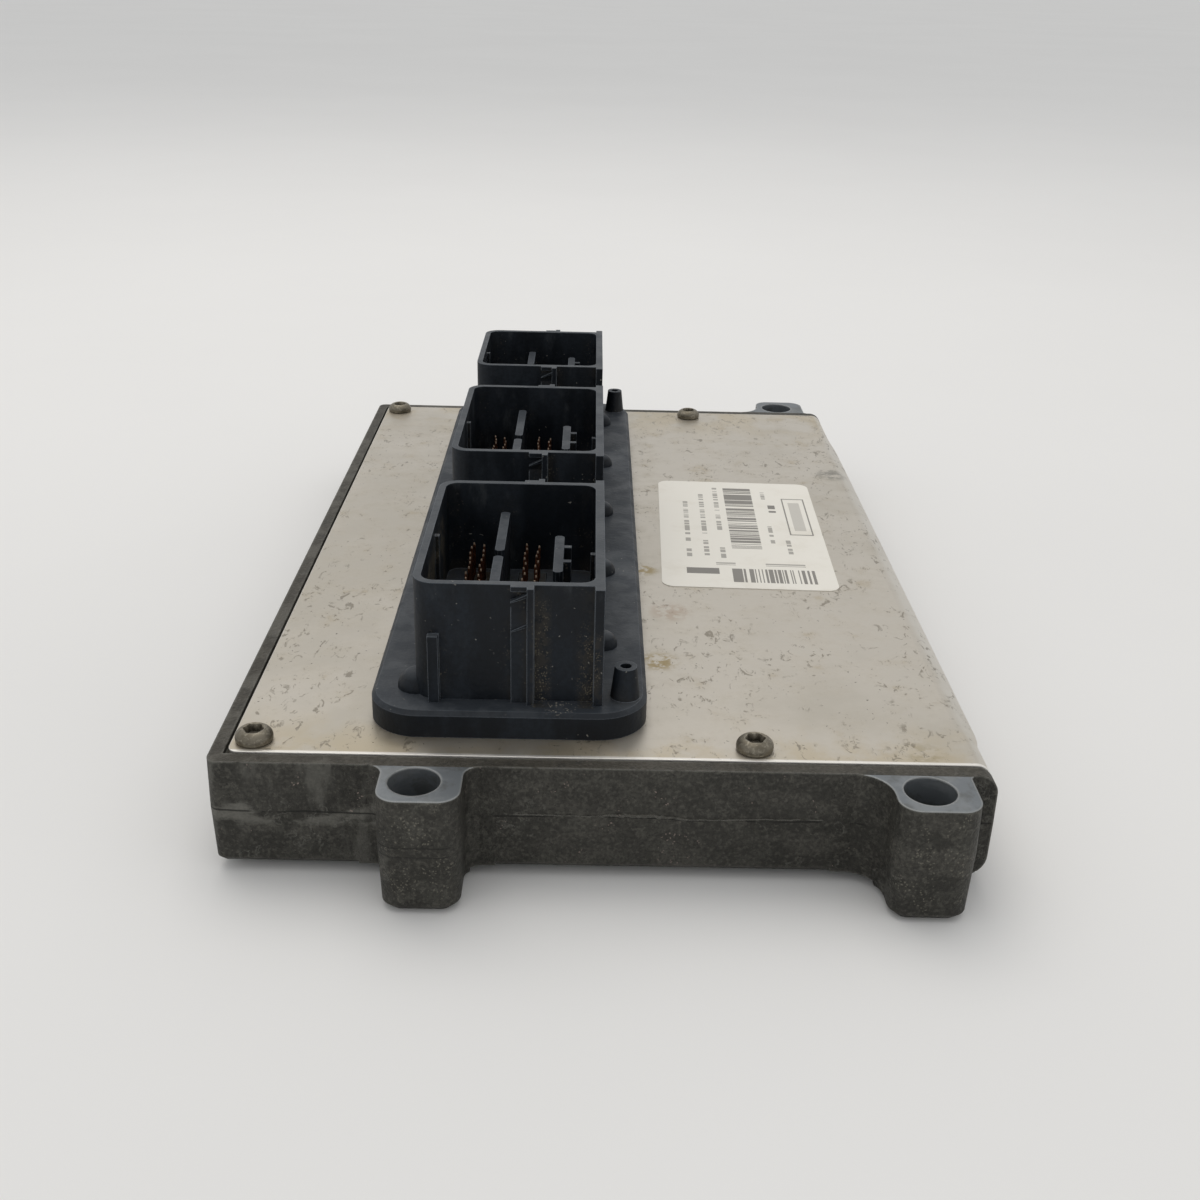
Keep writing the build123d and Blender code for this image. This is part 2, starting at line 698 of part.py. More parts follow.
# Shrouds: each stands on the flange with its guides, the bay's floor, dividers and key
for name, front, length, pins in zip(bay_names, bay_fronts, bay_lengths, bay_rows):
    with BuildPart() as shroud:
        with BuildSketch(Plane.XY.offset(flange_top)) as shroud_plan:
            with Locations((shroud_x, front + length / 2)):
                Rectangle(shroud_width, length)
            fillet(shroud_plan.vertices().group_by(Axis.X)[0], shroud_corner_r)
        extrude(amount=shroud_top - flange_top)
        box_between(bay_right, shroud_right, front - side_plate_reach, front + length + side_plate_reach,
                    flange_top, shroud_top)
        bay_guides(front, front + length)
        extrude(bay_plan(front, length, bay_floor_z), amount=shroud_height, mode=Mode.SUBTRACT)
        bay_keys(front, length)
        extrude(block_plan(front, length, pins, block_play, bay_floor_z),
                amount=-bay_floor, mode=Mode.SUBTRACT)
        extrude(block_plan(front, length, pins, block_step + block_play, flange_top),
                amount=bay_floor_z - block_height + block_step_height - flange_top, mode=Mode.SUBTRACT)
    shroud.part.label = name + "_shroud"
    export_step(shroud.part, "parts/" + name + "_shroud.step")

header_seal = header_seal_ring(header_seal_width)
header_seal.label = "header_seal"
export_step(header_seal, "parts/header_seal.step")

# Header screws: driven from under the cover up into the hollow posts
with BuildPart() as header_screws:
    extrude(six_sided(posts, header_screw_head_r, cover_under), amount=-header_screw_head)
    extrude(six_sided(posts, header_screw_r, cover_under), amount=header_screw_length)

header_screws.part.label = "header_screws"
export_step(header_screws.part, "parts/header_screws.step")

# One square pin
with BuildPart() as one_pin:
    Box(pin_size, pin_size, board_drop + pin_height, align=(Align.CENTER, Align.CENTER, Align.MIN))

# Pin blocks, with a wider foot that seats under the bay floor and a channel for each row of pins
for name, front, length, pins in zip(bay_names, bay_fronts, bay_lengths, bay_rows):
    rows = bay_pin_rows(pins)
    middle = front + length / 2
    with BuildPart() as pin_blocks:
        extrude(block_plan(front, length, pins, 0, bay_floor_z), amount=-block_height)
        extrude(block_plan(front, length, pins, block_step, bay_floor_z - block_height),
                amount=block_step_height - block_play)
        with BuildSketch(Plane.XY.offset(bay_floor_z)):
            for x, count in rows:
                with Locations((x, middle)):
                    Rectangle(pin_size, (count - 1) * pin_pitch + pin_size)
        extrude(amount=-block_height, mode=Mode.SUBTRACT)
    pin_blocks.part.label = name + "_pin_blocks"
    export_step(pin_blocks.part, "parts/" + name + "_pin_blocks.step")

    with BuildPart() as bay_pins:
        for x, count in rows:
            with Locations((x, middle, board_top)), GridLocations(0, pin_pitch, 1, count):
                add(one_pin.part)
    bay_pins.part.label = name + "_bay_pins"
    export_step(bay_pins.part, "parts/" + name + "_bay_pins.step")

# Circuit board, on the tray's standoffs
with BuildPart() as circuit_board:
    with BuildSketch(Plane.XY.offset(board_under)):
        with Locations((board_x, board_y)):
            RectangleRounded(board_right - board_left, board_far - board_near, board_corner_r)
    extrude(amount=board_thickness)
    extrude(six_sided(standoffs, board_screw_r + clearance, board_under),
            amount=board_thickness, mode=Mode.SUBTRACT)

circuit_board.part.label = "circuit_board"
export_step(circuit_board.part, "parts/circuit_board.step")

with BuildPart() as board_screws:
    extrude(six_sided(standoffs, board_screw_head_r, board_top), amount=board_screw_head)
    extrude(six_sided(standoffs, board_screw_r, board_top), amount=-board_screw_length)

board_screws.part.label = "board_screws"
export_step(board_screws.part, "parts/board_screws.step")


def chip_row(name, places, length, width, height, level, upright=True):
    """Flat-bodied components of one kind, all standing on or hanging from the board."""
    with BuildPart() as chips:
        with BuildSketch(Plane.XY.offset(level)):
            with Locations(*places):
                Rectangle(length, width)
        extrude(amount=height if upright else -height)
    chips.part.label = name
    export_step(chips.part, "parts/" + name + ".step")


chip_row("microcontroller", [(component_x, component_y)], controller_size, controller_size,
         controller_height, board_top)
chip_row("flash_memory", [(component_x, component_y + chip_spacing)], memory_width, memory_length,
         memory_height, board_top)
chip_row("quartz_crystal", [(component_x, component_y - crystal_offset)], crystal_length, crystal_width,
         crystal_height, board_top)
chip_row("voltage_regulator", [(component_x, component_y - chip_spacing)], regulator_width, regulator_length,
         regulator_height, board_top)
chip_row("driver_chips", [
    (driver_x, board_y + (index - (driver_count - 1) / 2) * driver_pitch) for index in range(driver_count)
], driver_width, driver_length, driver_height, board_top)
chip_row("ceramic_capacitors", [
    (component_x + side * chip_cap_spread, component_y + (index - (chip_cap_count - 1) / 2) * chip_cap_pitch)
    for side in (-1, 1) for index in range(chip_cap_count)
], chip_cap_width, chip_cap_length, chip_cap_height, board_top)
chip_row("power_transistors", [(transistor_x, y) for y in transistor_ys], transistor_width,
         transistor_length, transistor_height, board_under, upright=False)
chip_row("thermal_pads", [(transistor_x, y) for y in transistor_ys], transistor_width,
         transistor_length, pad_thickness, pedestal_top)
chip_row("power_chokes", [
    (choke_x, board_y + (index - (choke_count - 1) / 2) * choke_pitch) for index in range(choke_count)
], choke_size, choke_size, choke_height, board_under, upright=False)

with BuildPart() as electrolytic_capacitors:
    for index in range(can_count):
        with Locations((can_x, board_y + (index - (can_count - 1) / 2) * can_pitch, board_under)):
            Cylinder(can_r, can_height, align=(Align.CENTER, Align.CENTER, Align.MAX))

electrolytic_capacitors.part.label = "electrolytic_capacitors"
export_step(electrolytic_capacitors.part, "parts/electrolytic_capacitors.step")

# Label on the cover
with BuildPart() as label:
    with BuildSketch(Plane.XY.offset(cover_top)):
        with Locations(Location((label_x, near + label_y, 0), (0, 0, label_turn))):
            RectangleRounded(label_width, label_length, label_corner_r)
    extrude(amount=label_thickness)

label.part.label = "label"
export_step(label.part, "parts/label.step")
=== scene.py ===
"""Looks of a used engine control unit: die-cast tray, rolled sheet cover, moulded header full of pins.

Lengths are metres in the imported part's frame: +X across the unit, +Y along it away from the near
ears, +Z up. Sizes in classes and calls are millimetres and are multiplied by MM where they are used.
"""

import json
import logging
import math
import random
from dataclasses import dataclass
from enum import Enum

import bmesh
import bpy
from mathutils import Matrix, Vector

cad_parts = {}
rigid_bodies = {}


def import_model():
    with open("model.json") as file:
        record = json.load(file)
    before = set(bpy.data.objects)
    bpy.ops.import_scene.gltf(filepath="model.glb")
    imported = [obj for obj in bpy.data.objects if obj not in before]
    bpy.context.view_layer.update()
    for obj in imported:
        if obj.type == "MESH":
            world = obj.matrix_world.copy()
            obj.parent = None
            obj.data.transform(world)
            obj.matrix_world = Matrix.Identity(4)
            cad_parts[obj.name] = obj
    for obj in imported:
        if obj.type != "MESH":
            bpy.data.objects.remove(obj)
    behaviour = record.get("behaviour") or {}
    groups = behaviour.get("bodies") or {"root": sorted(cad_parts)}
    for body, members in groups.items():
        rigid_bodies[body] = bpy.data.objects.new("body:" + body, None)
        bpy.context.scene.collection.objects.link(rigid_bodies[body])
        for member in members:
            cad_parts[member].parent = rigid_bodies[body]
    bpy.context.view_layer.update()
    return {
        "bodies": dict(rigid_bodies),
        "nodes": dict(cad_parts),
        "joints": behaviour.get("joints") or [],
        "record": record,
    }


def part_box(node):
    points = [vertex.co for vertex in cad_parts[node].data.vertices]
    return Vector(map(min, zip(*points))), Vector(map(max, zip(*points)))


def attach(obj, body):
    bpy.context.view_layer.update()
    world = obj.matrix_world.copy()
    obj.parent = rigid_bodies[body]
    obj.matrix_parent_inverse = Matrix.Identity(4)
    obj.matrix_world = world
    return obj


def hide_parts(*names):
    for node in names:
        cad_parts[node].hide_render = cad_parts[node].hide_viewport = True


LOG = logging.getLogger("engine_control_unit")
MM = 0.001
RAYS = 6  # samples of each bevel and shelter node
SHARP_ANGLE = math.radians(35)
SOFT = {"interpolation_type": "SMOOTHSTEP"}

Tree = bpy.types.NodeTree
Node = bpy.types.Node
Socket = bpy.types.NodeSocket
Piece = bpy.types.Object
Point = tuple[float, float, float]
Colour = tuple[float, float, float, float]
Inputs = dict[str | int, object]
Layer = tuple[str, *tuple[Socket | float, ...]]
Pairs = tuple[tuple[float, float], ...]


def linear(hex_colour: str) -> Colour:
    """Turns an sRGB colour into the linear one that shaders read.

    Args:
        hex_colour: Colour such as "#a0b1c2".

    Returns:
        Linear red, green, blue and an alpha of 1.
    """
    channels = [int(hex_colour[place:place + 2], 16) / 255 for place in (1, 3, 5)]
    red, green, blue = [c / 12.92 if c <= 0.04045 else ((c + 0.055) / 1.055) ** 2.4 for c in channels]
    return (red, green, blue, 1.0)


def per_mm(size: float) -> float:
    """Returns the texture scale whose features are about size millimetres across."""
    return 1 / (size * MM)


def add_node(tree: Tree, kind: str, inputs: Inputs | None = None, **settings: object) -> Node:
    """Adds a node with its settings, values and links.

    Args:
        tree: Tree that gets the node.
        kind: The node's type name.
        inputs: Input names or indices, each with a value or with the output that feeds it.
        settings: Attributes of the node itself.

    Returns:
        The new node.
    """
    node = tree.nodes.new(kind)
    for name, setting in settings.items():
        setattr(node, name, setting)
    for key, value in (inputs or {}).items():
        if isinstance(value, Socket):
            tree.links.new(value, node.inputs[key])
        else:
            node.inputs[key].default_value = value
    return node


@dataclass(frozen=True)
class Paint:
    """Masks and colours on one material's coordinates. A mask is a socket that gives 0 to 1.

    Sizes that its methods take are in millimetres.
    """

    tree: Tree
    where: Socket

    def out(self, kind: str, inputs: Inputs | None = None, output: str | int = 0,
            **settings: object) -> Socket:
        """Adds the shader node of that kind as add_node does and returns one of its outputs."""
        return add_node(self.tree, "ShaderNode" + kind, inputs, **settings).outputs[output]

    def axis(self, name: str) -> Socket:
        """Returns the coordinate along an axis, in metres."""
        return self.out("SeparateXYZ", {0: self.where}, name)

    def drawn_out(self, *factors: float) -> "Paint":
        """Returns a paint on scaled coordinates, whose patterns are long where a factor is small."""
        scaled = self.out("VectorMath", {0: self.where, 1: factors}, operation="MULTIPLY")
        return Paint(self.tree, scaled)

    def times(self, *masks: Socket | float) -> Socket:
        """Makes the product of masks and shares.

        Args:
            masks: The masks and shares, a mask first.

        Returns:
            Their product.
        """
        product = masks[0]
        for mask in masks[1:]:
            product = self.out("Math", {0: product, 1: mask}, operation="MULTIPLY")
        return product

    def blotches(self, size: float, start: float, full: float, detail: float = 5.0) -> Socket:
        """Makes a mask of soft irregular patches.

        Args:
            size: Size of a patch.
            start: Noise level at which the mask leaves 0.
            full: Noise level at which it reaches 1.
            detail: Octaves of finer break-up.

        Returns:
            The mask.
        """
        noise = self.out("TexNoise", {
            "Vector": self.where, "Scale": per_mm(size), "Detail": detail, "Roughness": 0.62})
        return self.out("MapRange", {"Value": noise, "From Min": start, "From Max": full}, **SOFT)

    def specks(self, spacing: float, size: float, gate: Socket) -> Socket:
        """Makes a mask of small irregular grains, thinned by another mask.

        Args:
            spacing: Distance between grains.
            size: Grain radius as a share of the spacing.
            gate: Mask of where grains lie.

        Returns:
            The mask.
        """
        wobble = self.out("TexNoise", {
            "Vector": self.where, "Scale": per_mm(spacing * 0.8), "Detail": 2.0}, "Color")
        shift = self.out("VectorMath", {0: wobble, 1: (spacing * MM,) * 3}, operation="MULTIPLY")
        moved = self.out("VectorMath", {0: self.where, 1: shift})
        away = self.out("TexVoronoi", {"Vector": moved, "Scale": per_mm(spacing)}, "Distance")
        grain = self.out("MapRange", {"Value": away, "From Min": size, "From Max": size * 0.6})
        return self.times(grain, gate)

    def patch(self, centre: Point, radius: float, grain: float) -> Socket:
        """Makes a mask of one ragged round patch.

        Args:
            centre: The patch's middle.
            radius: Its reach.
            grain: Size of its break-up.

        Returns:
            The mask.
        """
        away = self.out(
            "VectorMath", {0: self.where, 1: Vector(centre) * MM}, "Value", operation="DISTANCE")
        near = self.out(
            "MapRange", {"Value": away, "From Min": radius * MM, "From Max": 0.3 * radius * MM}, **SOFT)
        return self.times(near, self.blotches(grain, 0.4, 0.56))

    def worn_and_lit_edges(self, width: float) -> Socket:
        """Makes a mask of outer and inner edges, for rubbed wear and for painted edge highlights.

        Args:
            width: Width of the edge.

        Returns:
            The mask.
        """
        rounded = self.out("Bevel", {"Radius": width * MM}, samples=RAYS)
        flat = self.out("NewGeometry", output="Normal")
        likeness = self.out("VectorMath", {0: rounded, 1: flat}, "Value", operation="DOT_PRODUCT")
        return self.out("MapRange", {"Value": likeness, "From Min": 0.99, "From Max": 0.75})

    def crevices(self, reach: float, start: float, full: float) -> Socket:
        """Makes a mask of inner corners, which carries dust on the nylon and painted shade in the steel's
        hollows.

        Args:
            reach: How far the corner reaches.
            start: Openness at which the mask leaves 0.
            full: Openness at which it reaches 1.

        Returns:
            The mask.
        """
        openness = self.out(
            "AmbientOcclusion", {"Distance": reach * MM}, "AO", samples=RAYS, only_local=True)
        return self.out("MapRange", {"Value": openness, "From Min": start, "From Max": full})

    def facing(self, axis: str, start: float, full: float) -> Socket:
        """Makes a mask of faces that look along an axis.

        Args:
            axis: "X", "Y" or "Z".
            start: Share of the normal along the axis at which the mask leaves 0.
            full: Share at which it reaches 1.

        Returns:
            The mask.
        """
        normal = self.out("NewGeometry", output="Normal")
        share = self.out("SeparateXYZ", {0: normal}, axis)
        return self.out("MapRange", {"Value": share, "From Min": start, "From Max": full})

    def band(self, axis: str, low: float, high: float, soft: float = 0.5) -> Socket:
        """Makes a mask of where a coordinate lies between two values.

        Args:
            axis: The coordinate's axis.
            low: Lowest value.
            high: Highest value.
            soft: Width of the soft borders.

        Returns:
            The mask.
        """
        return self.times(*[
            self.out("MapRange", {"Value": self.axis(axis), "From Min": outer * MM, "From Max": inner * MM})
            for outer, inner in ((low - soft, low), (high + soft, high))])

    def laid_over(self, base: str, layers: list[Layer]) -> Socket:
        """Lays colours over a base colour.

        Args:
            base: sRGB hex colour underneath.
            layers: sRGB hex colours, the lowest first, each with the masks and shares that thin it.

        Returns:
            The colour.
        """
        colour: object = linear(base)
        for hex_colour, *masks in layers:
            colour = self.out(
                "Mix", {0: self.times(*masks), 6: colour, 7: linear(hex_colour)}, 2, data_type="RGBA")
        return colour

    def relief(self, height: Socket, depth: float, strength: float, rounding: float) -> Socket:
        """Makes the normals of fine relief on edges that look rounded.

        Args:
            height: The relief's height, as a share of its depth.
            depth: Its depth.
            strength: How much of it shows.
            rounding: Radius of the edges.

        Returns:
            The normals.
        """
        rounded = self.out("Bevel", {"Radius": rounding * MM}, samples=RAYS)
        return self.out("Bump", {
            "Height": height, "Distance": depth * MM, "Strength": strength, "Normal": rounded})


@dataclass(frozen=True)
class Finish:
    """A finish: its material's name and the nodes that give its look."""

    name: str

    def shade(self, paint: Paint) -> Inputs:
        """Makes the finish's nodes and returns what goes into the shader's sockets."""
        raise NotImplementedError

    def material(self) -> bpy.types.Material:
        """Finds the finish's material, or makes it when it is first asked for.

        Returns:
            The material.
        """
        made = bpy.data.materials.get(self.name)
        if made is None:
            made = bpy.data.materials.new(self.name)
            made.use_nodes = True
            tree = made.node_tree
            tree.nodes.clear()
            paint = Paint(tree, add_node(tree, "ShaderNodeTexCoord").outputs["Object"])
            shader = paint.out("BsdfPrincipled", self.shade(paint))
            add_node(tree, "ShaderNodeOutputMaterial", {"Surface": shader})
        return made


@dataclass(frozen=True)
class DieCastAluminium(Finish):
    """Raw die-cast aluminium: oxidised dark, grainy and blotched, its ear tops and holes milled blue-grey."""

    top: float
    parting: float
    end: float
    holes_x: float = 12.95
    holes_half_x: float = 50.25
    holes_half_y: float = 129.2
    hole_r: float = 5.2
    slack: float = 0.12

    def shade(self, paint: Paint) -> Inputs:
        """Makes grain, stains, the parting line and the milled faces.

        Args:
            paint: The material's paint.

        Returns:
            The shader's inputs.
        """
        milled = self.milled_faces(paint)
        cast = paint.out("Math", {0: 1.0, 1: milled}, operation="SUBTRACT")
        smears = paint.drawn_out(0.45, 0.45, 1.0).blotches(8, 0.5, 0.6, 6)
        patches = paint.blotches(6, 0.5, 0.6, 8)
        # The skin's real grain is finer than a pixel, so it is drawn as coarse as it needs to show.
        grain = paint.blotches(0.7, 0.4, 0.62, 2)
        pits = paint.specks(1.1, 0.2, paint.blotches(7, 0.45, 0.6))
        salt = paint.specks(0.7, 0.18, paint.blotches(6, 0.46, 0.6))
        bloom = paint.specks(0.8, 0.26, paint.blotches(9, 0.6, 0.66))
        leftwards = paint.out(
            "MapRange", {"Value": paint.axis("X"), "From Min": -30 * MM, "From Max": -52 * MM}, **SOFT)
        left_third = paint.times(leftwards, paint.facing("X", -1.3, -0.5))
        washed = paint.drawn_out(1.0, 1.0, 0.3).blotches(9, 0.48, 0.6, 7)
        handled = paint.band("Z", 12.6, 16.6, 1.2)
        on_walls = paint.band("Y", -self.end - 3, self.end + 3, 2)
        on_ears = paint.out("Math", {0: cast, 1: on_walls}, operation="SUBTRACT", use_clamp=True)
        crust = paint.specks(0.75, 0.32, paint.times(on_ears, paint.blotches(5, 0.46, 0.58)))
        seam = self.parting_line(paint)
        upper, lower = paint.band("Z", 15.6, 15.75, 0.15), paint.band("Z", 13.5, 13.6, 0.15)
        ear_lines = paint.times(
            paint.out("Math", {0: upper, 1: lower}, operation="MAXIMUM"), paint.band("Y", -140, -134),
            paint.band("X", -45, -30))
        rim = paint.times(paint.facing("Z", 0.7, 0.9), cast, paint.blotches(4, 0.3, 0.5))
        # Edges: rubbed lighter; on the milled faces near-white, as bright milled metal with a painted
        # highlight in place of a chamfer.
        edges = paint.worn_and_lit_edges(0.9)
        colour = paint.laid_over("#32312c", [
            ("#3b3a35", paint.blotches(34, 0.44, 0.58)),
            ("#514f49", smears, 0.55),
            ("#4b4a44", patches, 0.55),
            ("#6d6c66", self.tide_marks(paint), 0.5),
            ("#605e57", paint.blotches(1.0, 0.5, 0.62, 3), 0.4),
            ("#23221f", grain, 0.5),
            ("#191816", pits, 0.7),
            ("#6b6a64", left_third, washed, 0.5),
            ("#85847d", handled, left_third, smears, 0.38),
            ("#74726a", salt, 0.35),
            ("#a5948c", bloom, 0.6),
            ("#8d897c", crust, 0.4),
            ("#171613", seam, 0.8),
            ("#1d1c19", ear_lines, 0.65),
            ("#554f44", rim, 0.3),
            ("#85847d", edges, paint.blotches(3, 0.3, 0.5), 0.8),
            ("#6e7377", milled),
            ("#585a58", milled, patches, 0.6),
            ("#888c8e", milled, smears, 0.5),
            # Bright milled metal with a painted highlight on the rims of the milled faces and holes.
            ("#b4b6b4", milled, edges, 0.85),
        ])
        marks = paint.out("Math", {0: seam, 1: ear_lines}, operation="MAXIMUM")
        height = paint.out("Math", {0: grain, 1: paint.times(marks, -1.5)}, operation="ADD")
        rough = paint.out("MapRange", {"Value": milled, "To Min": 0.62, "To Max": 0.42})
        normal = paint.relief(paint.times(height, cast), 0.14, 0.7, 0.8)
        return {"Base Color": colour, "Metallic": 0.4, "Roughness": rough, "Normal": normal}

    def tide_marks(self, paint: Paint) -> Socket:
        """Makes a mask of the pale outlines that drying water left.

        Args:
            paint: The material's paint.

        Returns:
            The mask.
        """
        level = paint.out("TexNoise", {
            "Vector": paint.where, "Scale": per_mm(15), "Detail": 6.0, "Roughness": 0.6})
        line = paint.out("Math", {0: level, 1: 0.56, 2: 0.007}, operation="COMPARE")
        return paint.times(line, paint.blotches(20, 0.46, 0.6))

    def parting_line(self, paint: Paint) -> Socket:
        """Makes a mask of the thin uneven line where the two dies met.

        Args:
            paint: The material's paint.

        Returns:
            The mask.
        """
        wander = paint.out("TexNoise", {"Vector": paint.where, "Scale": per_mm(22), "Detail": 4.0})
        wave = paint.out("MapRange", {
            "Value": wander, "From Min": 0.3, "From Max": 0.7, "To Min": -0.45 * MM, "To Max": 0.45 * MM})
        height = paint.out("Math", {0: paint.axis("Z"), 1: wave}, operation="ADD")
        line = paint.out("Math", {0: height, 1: self.parting * MM, 2: 0.2 * MM}, operation="COMPARE")
        on_walls = paint.band("Y", -self.end - 0.5, self.end + 0.5)
        return paint.times(line, on_walls, paint.blotches(9, 0.38, 0.5))

    def milled_faces(self, paint: Paint) -> Socket:
        """Makes a mask of the ears' milled tops and drilled holes.

        Args:
            paint: The material's paint.

        Returns:
            The mask.
        """
        away = paint.where
        for operation, value in (
                ("SUBTRACT", (self.holes_x * MM, 0, 0)), ("ABSOLUTE", (0, 0, 0)),
                ("SUBTRACT", (self.holes_half_x * MM, self.holes_half_y * MM, 0)), ("MULTIPLY", (1, 1, 0))):
            away = paint.out("VectorMath", {0: away, 1: value}, operation=operation)
        reach = paint.out("VectorMath", {0: away}, "Value", operation="LENGTH")
        along = paint.out("Math", {0: paint.axis("Y")}, operation="ABSOLUTE")
        hole, beyond, upper = [
            paint.out("Math", {0: place, 1: limit * MM}, operation=operation)
            for place, operation, limit in (
                (reach, "LESS_THAN", self.hole_r + self.slack), (along, "GREATER_THAN", self.end),
                (paint.axis("Z"), "GREATER_THAN", self.top - self.slack))]
        return paint.out("Math", {0: paint.times(beyond, upper), 1: hole}, operation="MAXIMUM")


@dataclass(frozen=True)
class SheetAluminium(Finish):
    """Bare mill-finish aluminium sheet: warm grey, yellowed at its ends, scuffed, with painted highlights on
    its rims, its near edge and its bend.
    """

    near_edge: float
    far_edge: float
    top: float = 26.4

    def shade(self, paint: Paint) -> Inputs:
        """Makes the stains, the scuffs and the painted highlights on the rims, the near edge and the bend.

        Args:
            paint: The material's paint.

        Returns:
            The shader's inputs.
        """
        near, far = [
            paint.out("MapRange", {"Value": paint.axis("Y"), "From Min": start * MM, "From Max": full * MM},
                      **SOFT)
            for start, full in ((self.near_edge + 22, self.near_edge), (self.far_edge - 40, self.far_edge))]
        ends = paint.out("Math", {0: near, 1: far}, operation="MAXIMUM")
        yellow = paint.times(ends, paint.blotches(16, 0.4, 0.6))
        cloud = paint.blotches(9, 0.42, 0.66)
        along = paint.drawn_out(1.0, 0.55, 1.0)
        scuffs = self.scuffs(along, 2.4, paint.blotches(16, 0.46, 0.55))
        fine_scuffs = self.scuffs(along, 1.1, paint.blotches(9, 0.54, 0.62))
        freckles = paint.specks(2.1, 0.11, paint.blotches(20, 0.42, 0.56))
        near_crust, far_crust, blush, smudge, ear_stain = [
            paint.patch((x, y, self.top), radius, grain) for x, y, radius, grain in (
                (12.3, -76.4, 6.0, 1.6), (10.6, -23.4, 5.0, 1.8), (16.2, -49.3, 7.0, 2.2),
                (71.9, 55.8, 6.5, 3.0), (65.0, -115.5, 6.0, 2.5))]
        crust = paint.out("Math", {0: near_crust, 1: far_crust}, operation="MAXIMUM")
        # Painted highlight along the rolled bend on the right.
        bend_highlight = paint.times(paint.facing("X", 0.12, 0.35), paint.facing("X", 0.9, 0.6))
        # Painted highlight along the near edge.
        near_edge_highlight = paint.band("Y", self.near_edge - 1.0, self.near_edge + 0.7, 0.25)
        colour = paint.laid_over("#bcb6aa", [
            ("#c6c0b5", paint.blotches(60, 0.4, 0.6)),
            ("#b9a883", yellow, 0.45),
            ("#ab9a78", paint.blotches(9, 0.6, 0.7), 0.35),
            ("#a8a296", cloud, 0.25),
            # Painted highlight on the bend.
            ("#d6d3cb", bend_highlight, 0.45),
            ("#857e71", scuffs, 0.8),
            ("#7a7366", fine_scuffs, 0.75),
            ("#4d483f", freckles, 0.9),
            ("#a58f7c", blush, 0.5),
            ("#958253", crust, 0.85),
            ("#8f8158", ear_stain, 0.4),
            ("#77746b", smudge, 0.75),
            # Painted highlights on the rims and along the near edge.
            ("#efede7", paint.worn_and_lit_edges(0.5), 0.9),
            ("#f3f1ec", near_edge_highlight, 0.8),
        ])
        rough = paint.out("MapRange", {"Value": cloud, "To Min": 0.36, "To Max": 0.48})
        dents = paint.out("Math", {0: scuffs, 1: fine_scuffs}, operation="ADD")
        normal = paint.relief(paint.times(dents, -1.0), 0.05, 0.5, 0.35)
        return {"Base Color": colour, "Metallic": 0.8, "Roughness": rough, "Normal": normal}

    def scuffs(self, paint: Paint, size: float, area: Socket) -> Socket:
        """Makes a mask of small ragged scratches and corroded flecks.

        Args:
            paint: The material's paint.
            size: Size of a fleck in millimetres.
            area: Mask of where flecks lie.

        Returns:
            The mask.
        """
        level = paint.out("TexNoise", {
            "Vector": paint.where, "Scale": per_mm(size), "Detail": 3.0, "Roughness": 0.7, "Distortion": 0.9})
        fleck = paint.out("MapRange", {"Value": level, "From Min": 0.585, "From Max": 0.64})
        return paint.times(fleck, area)


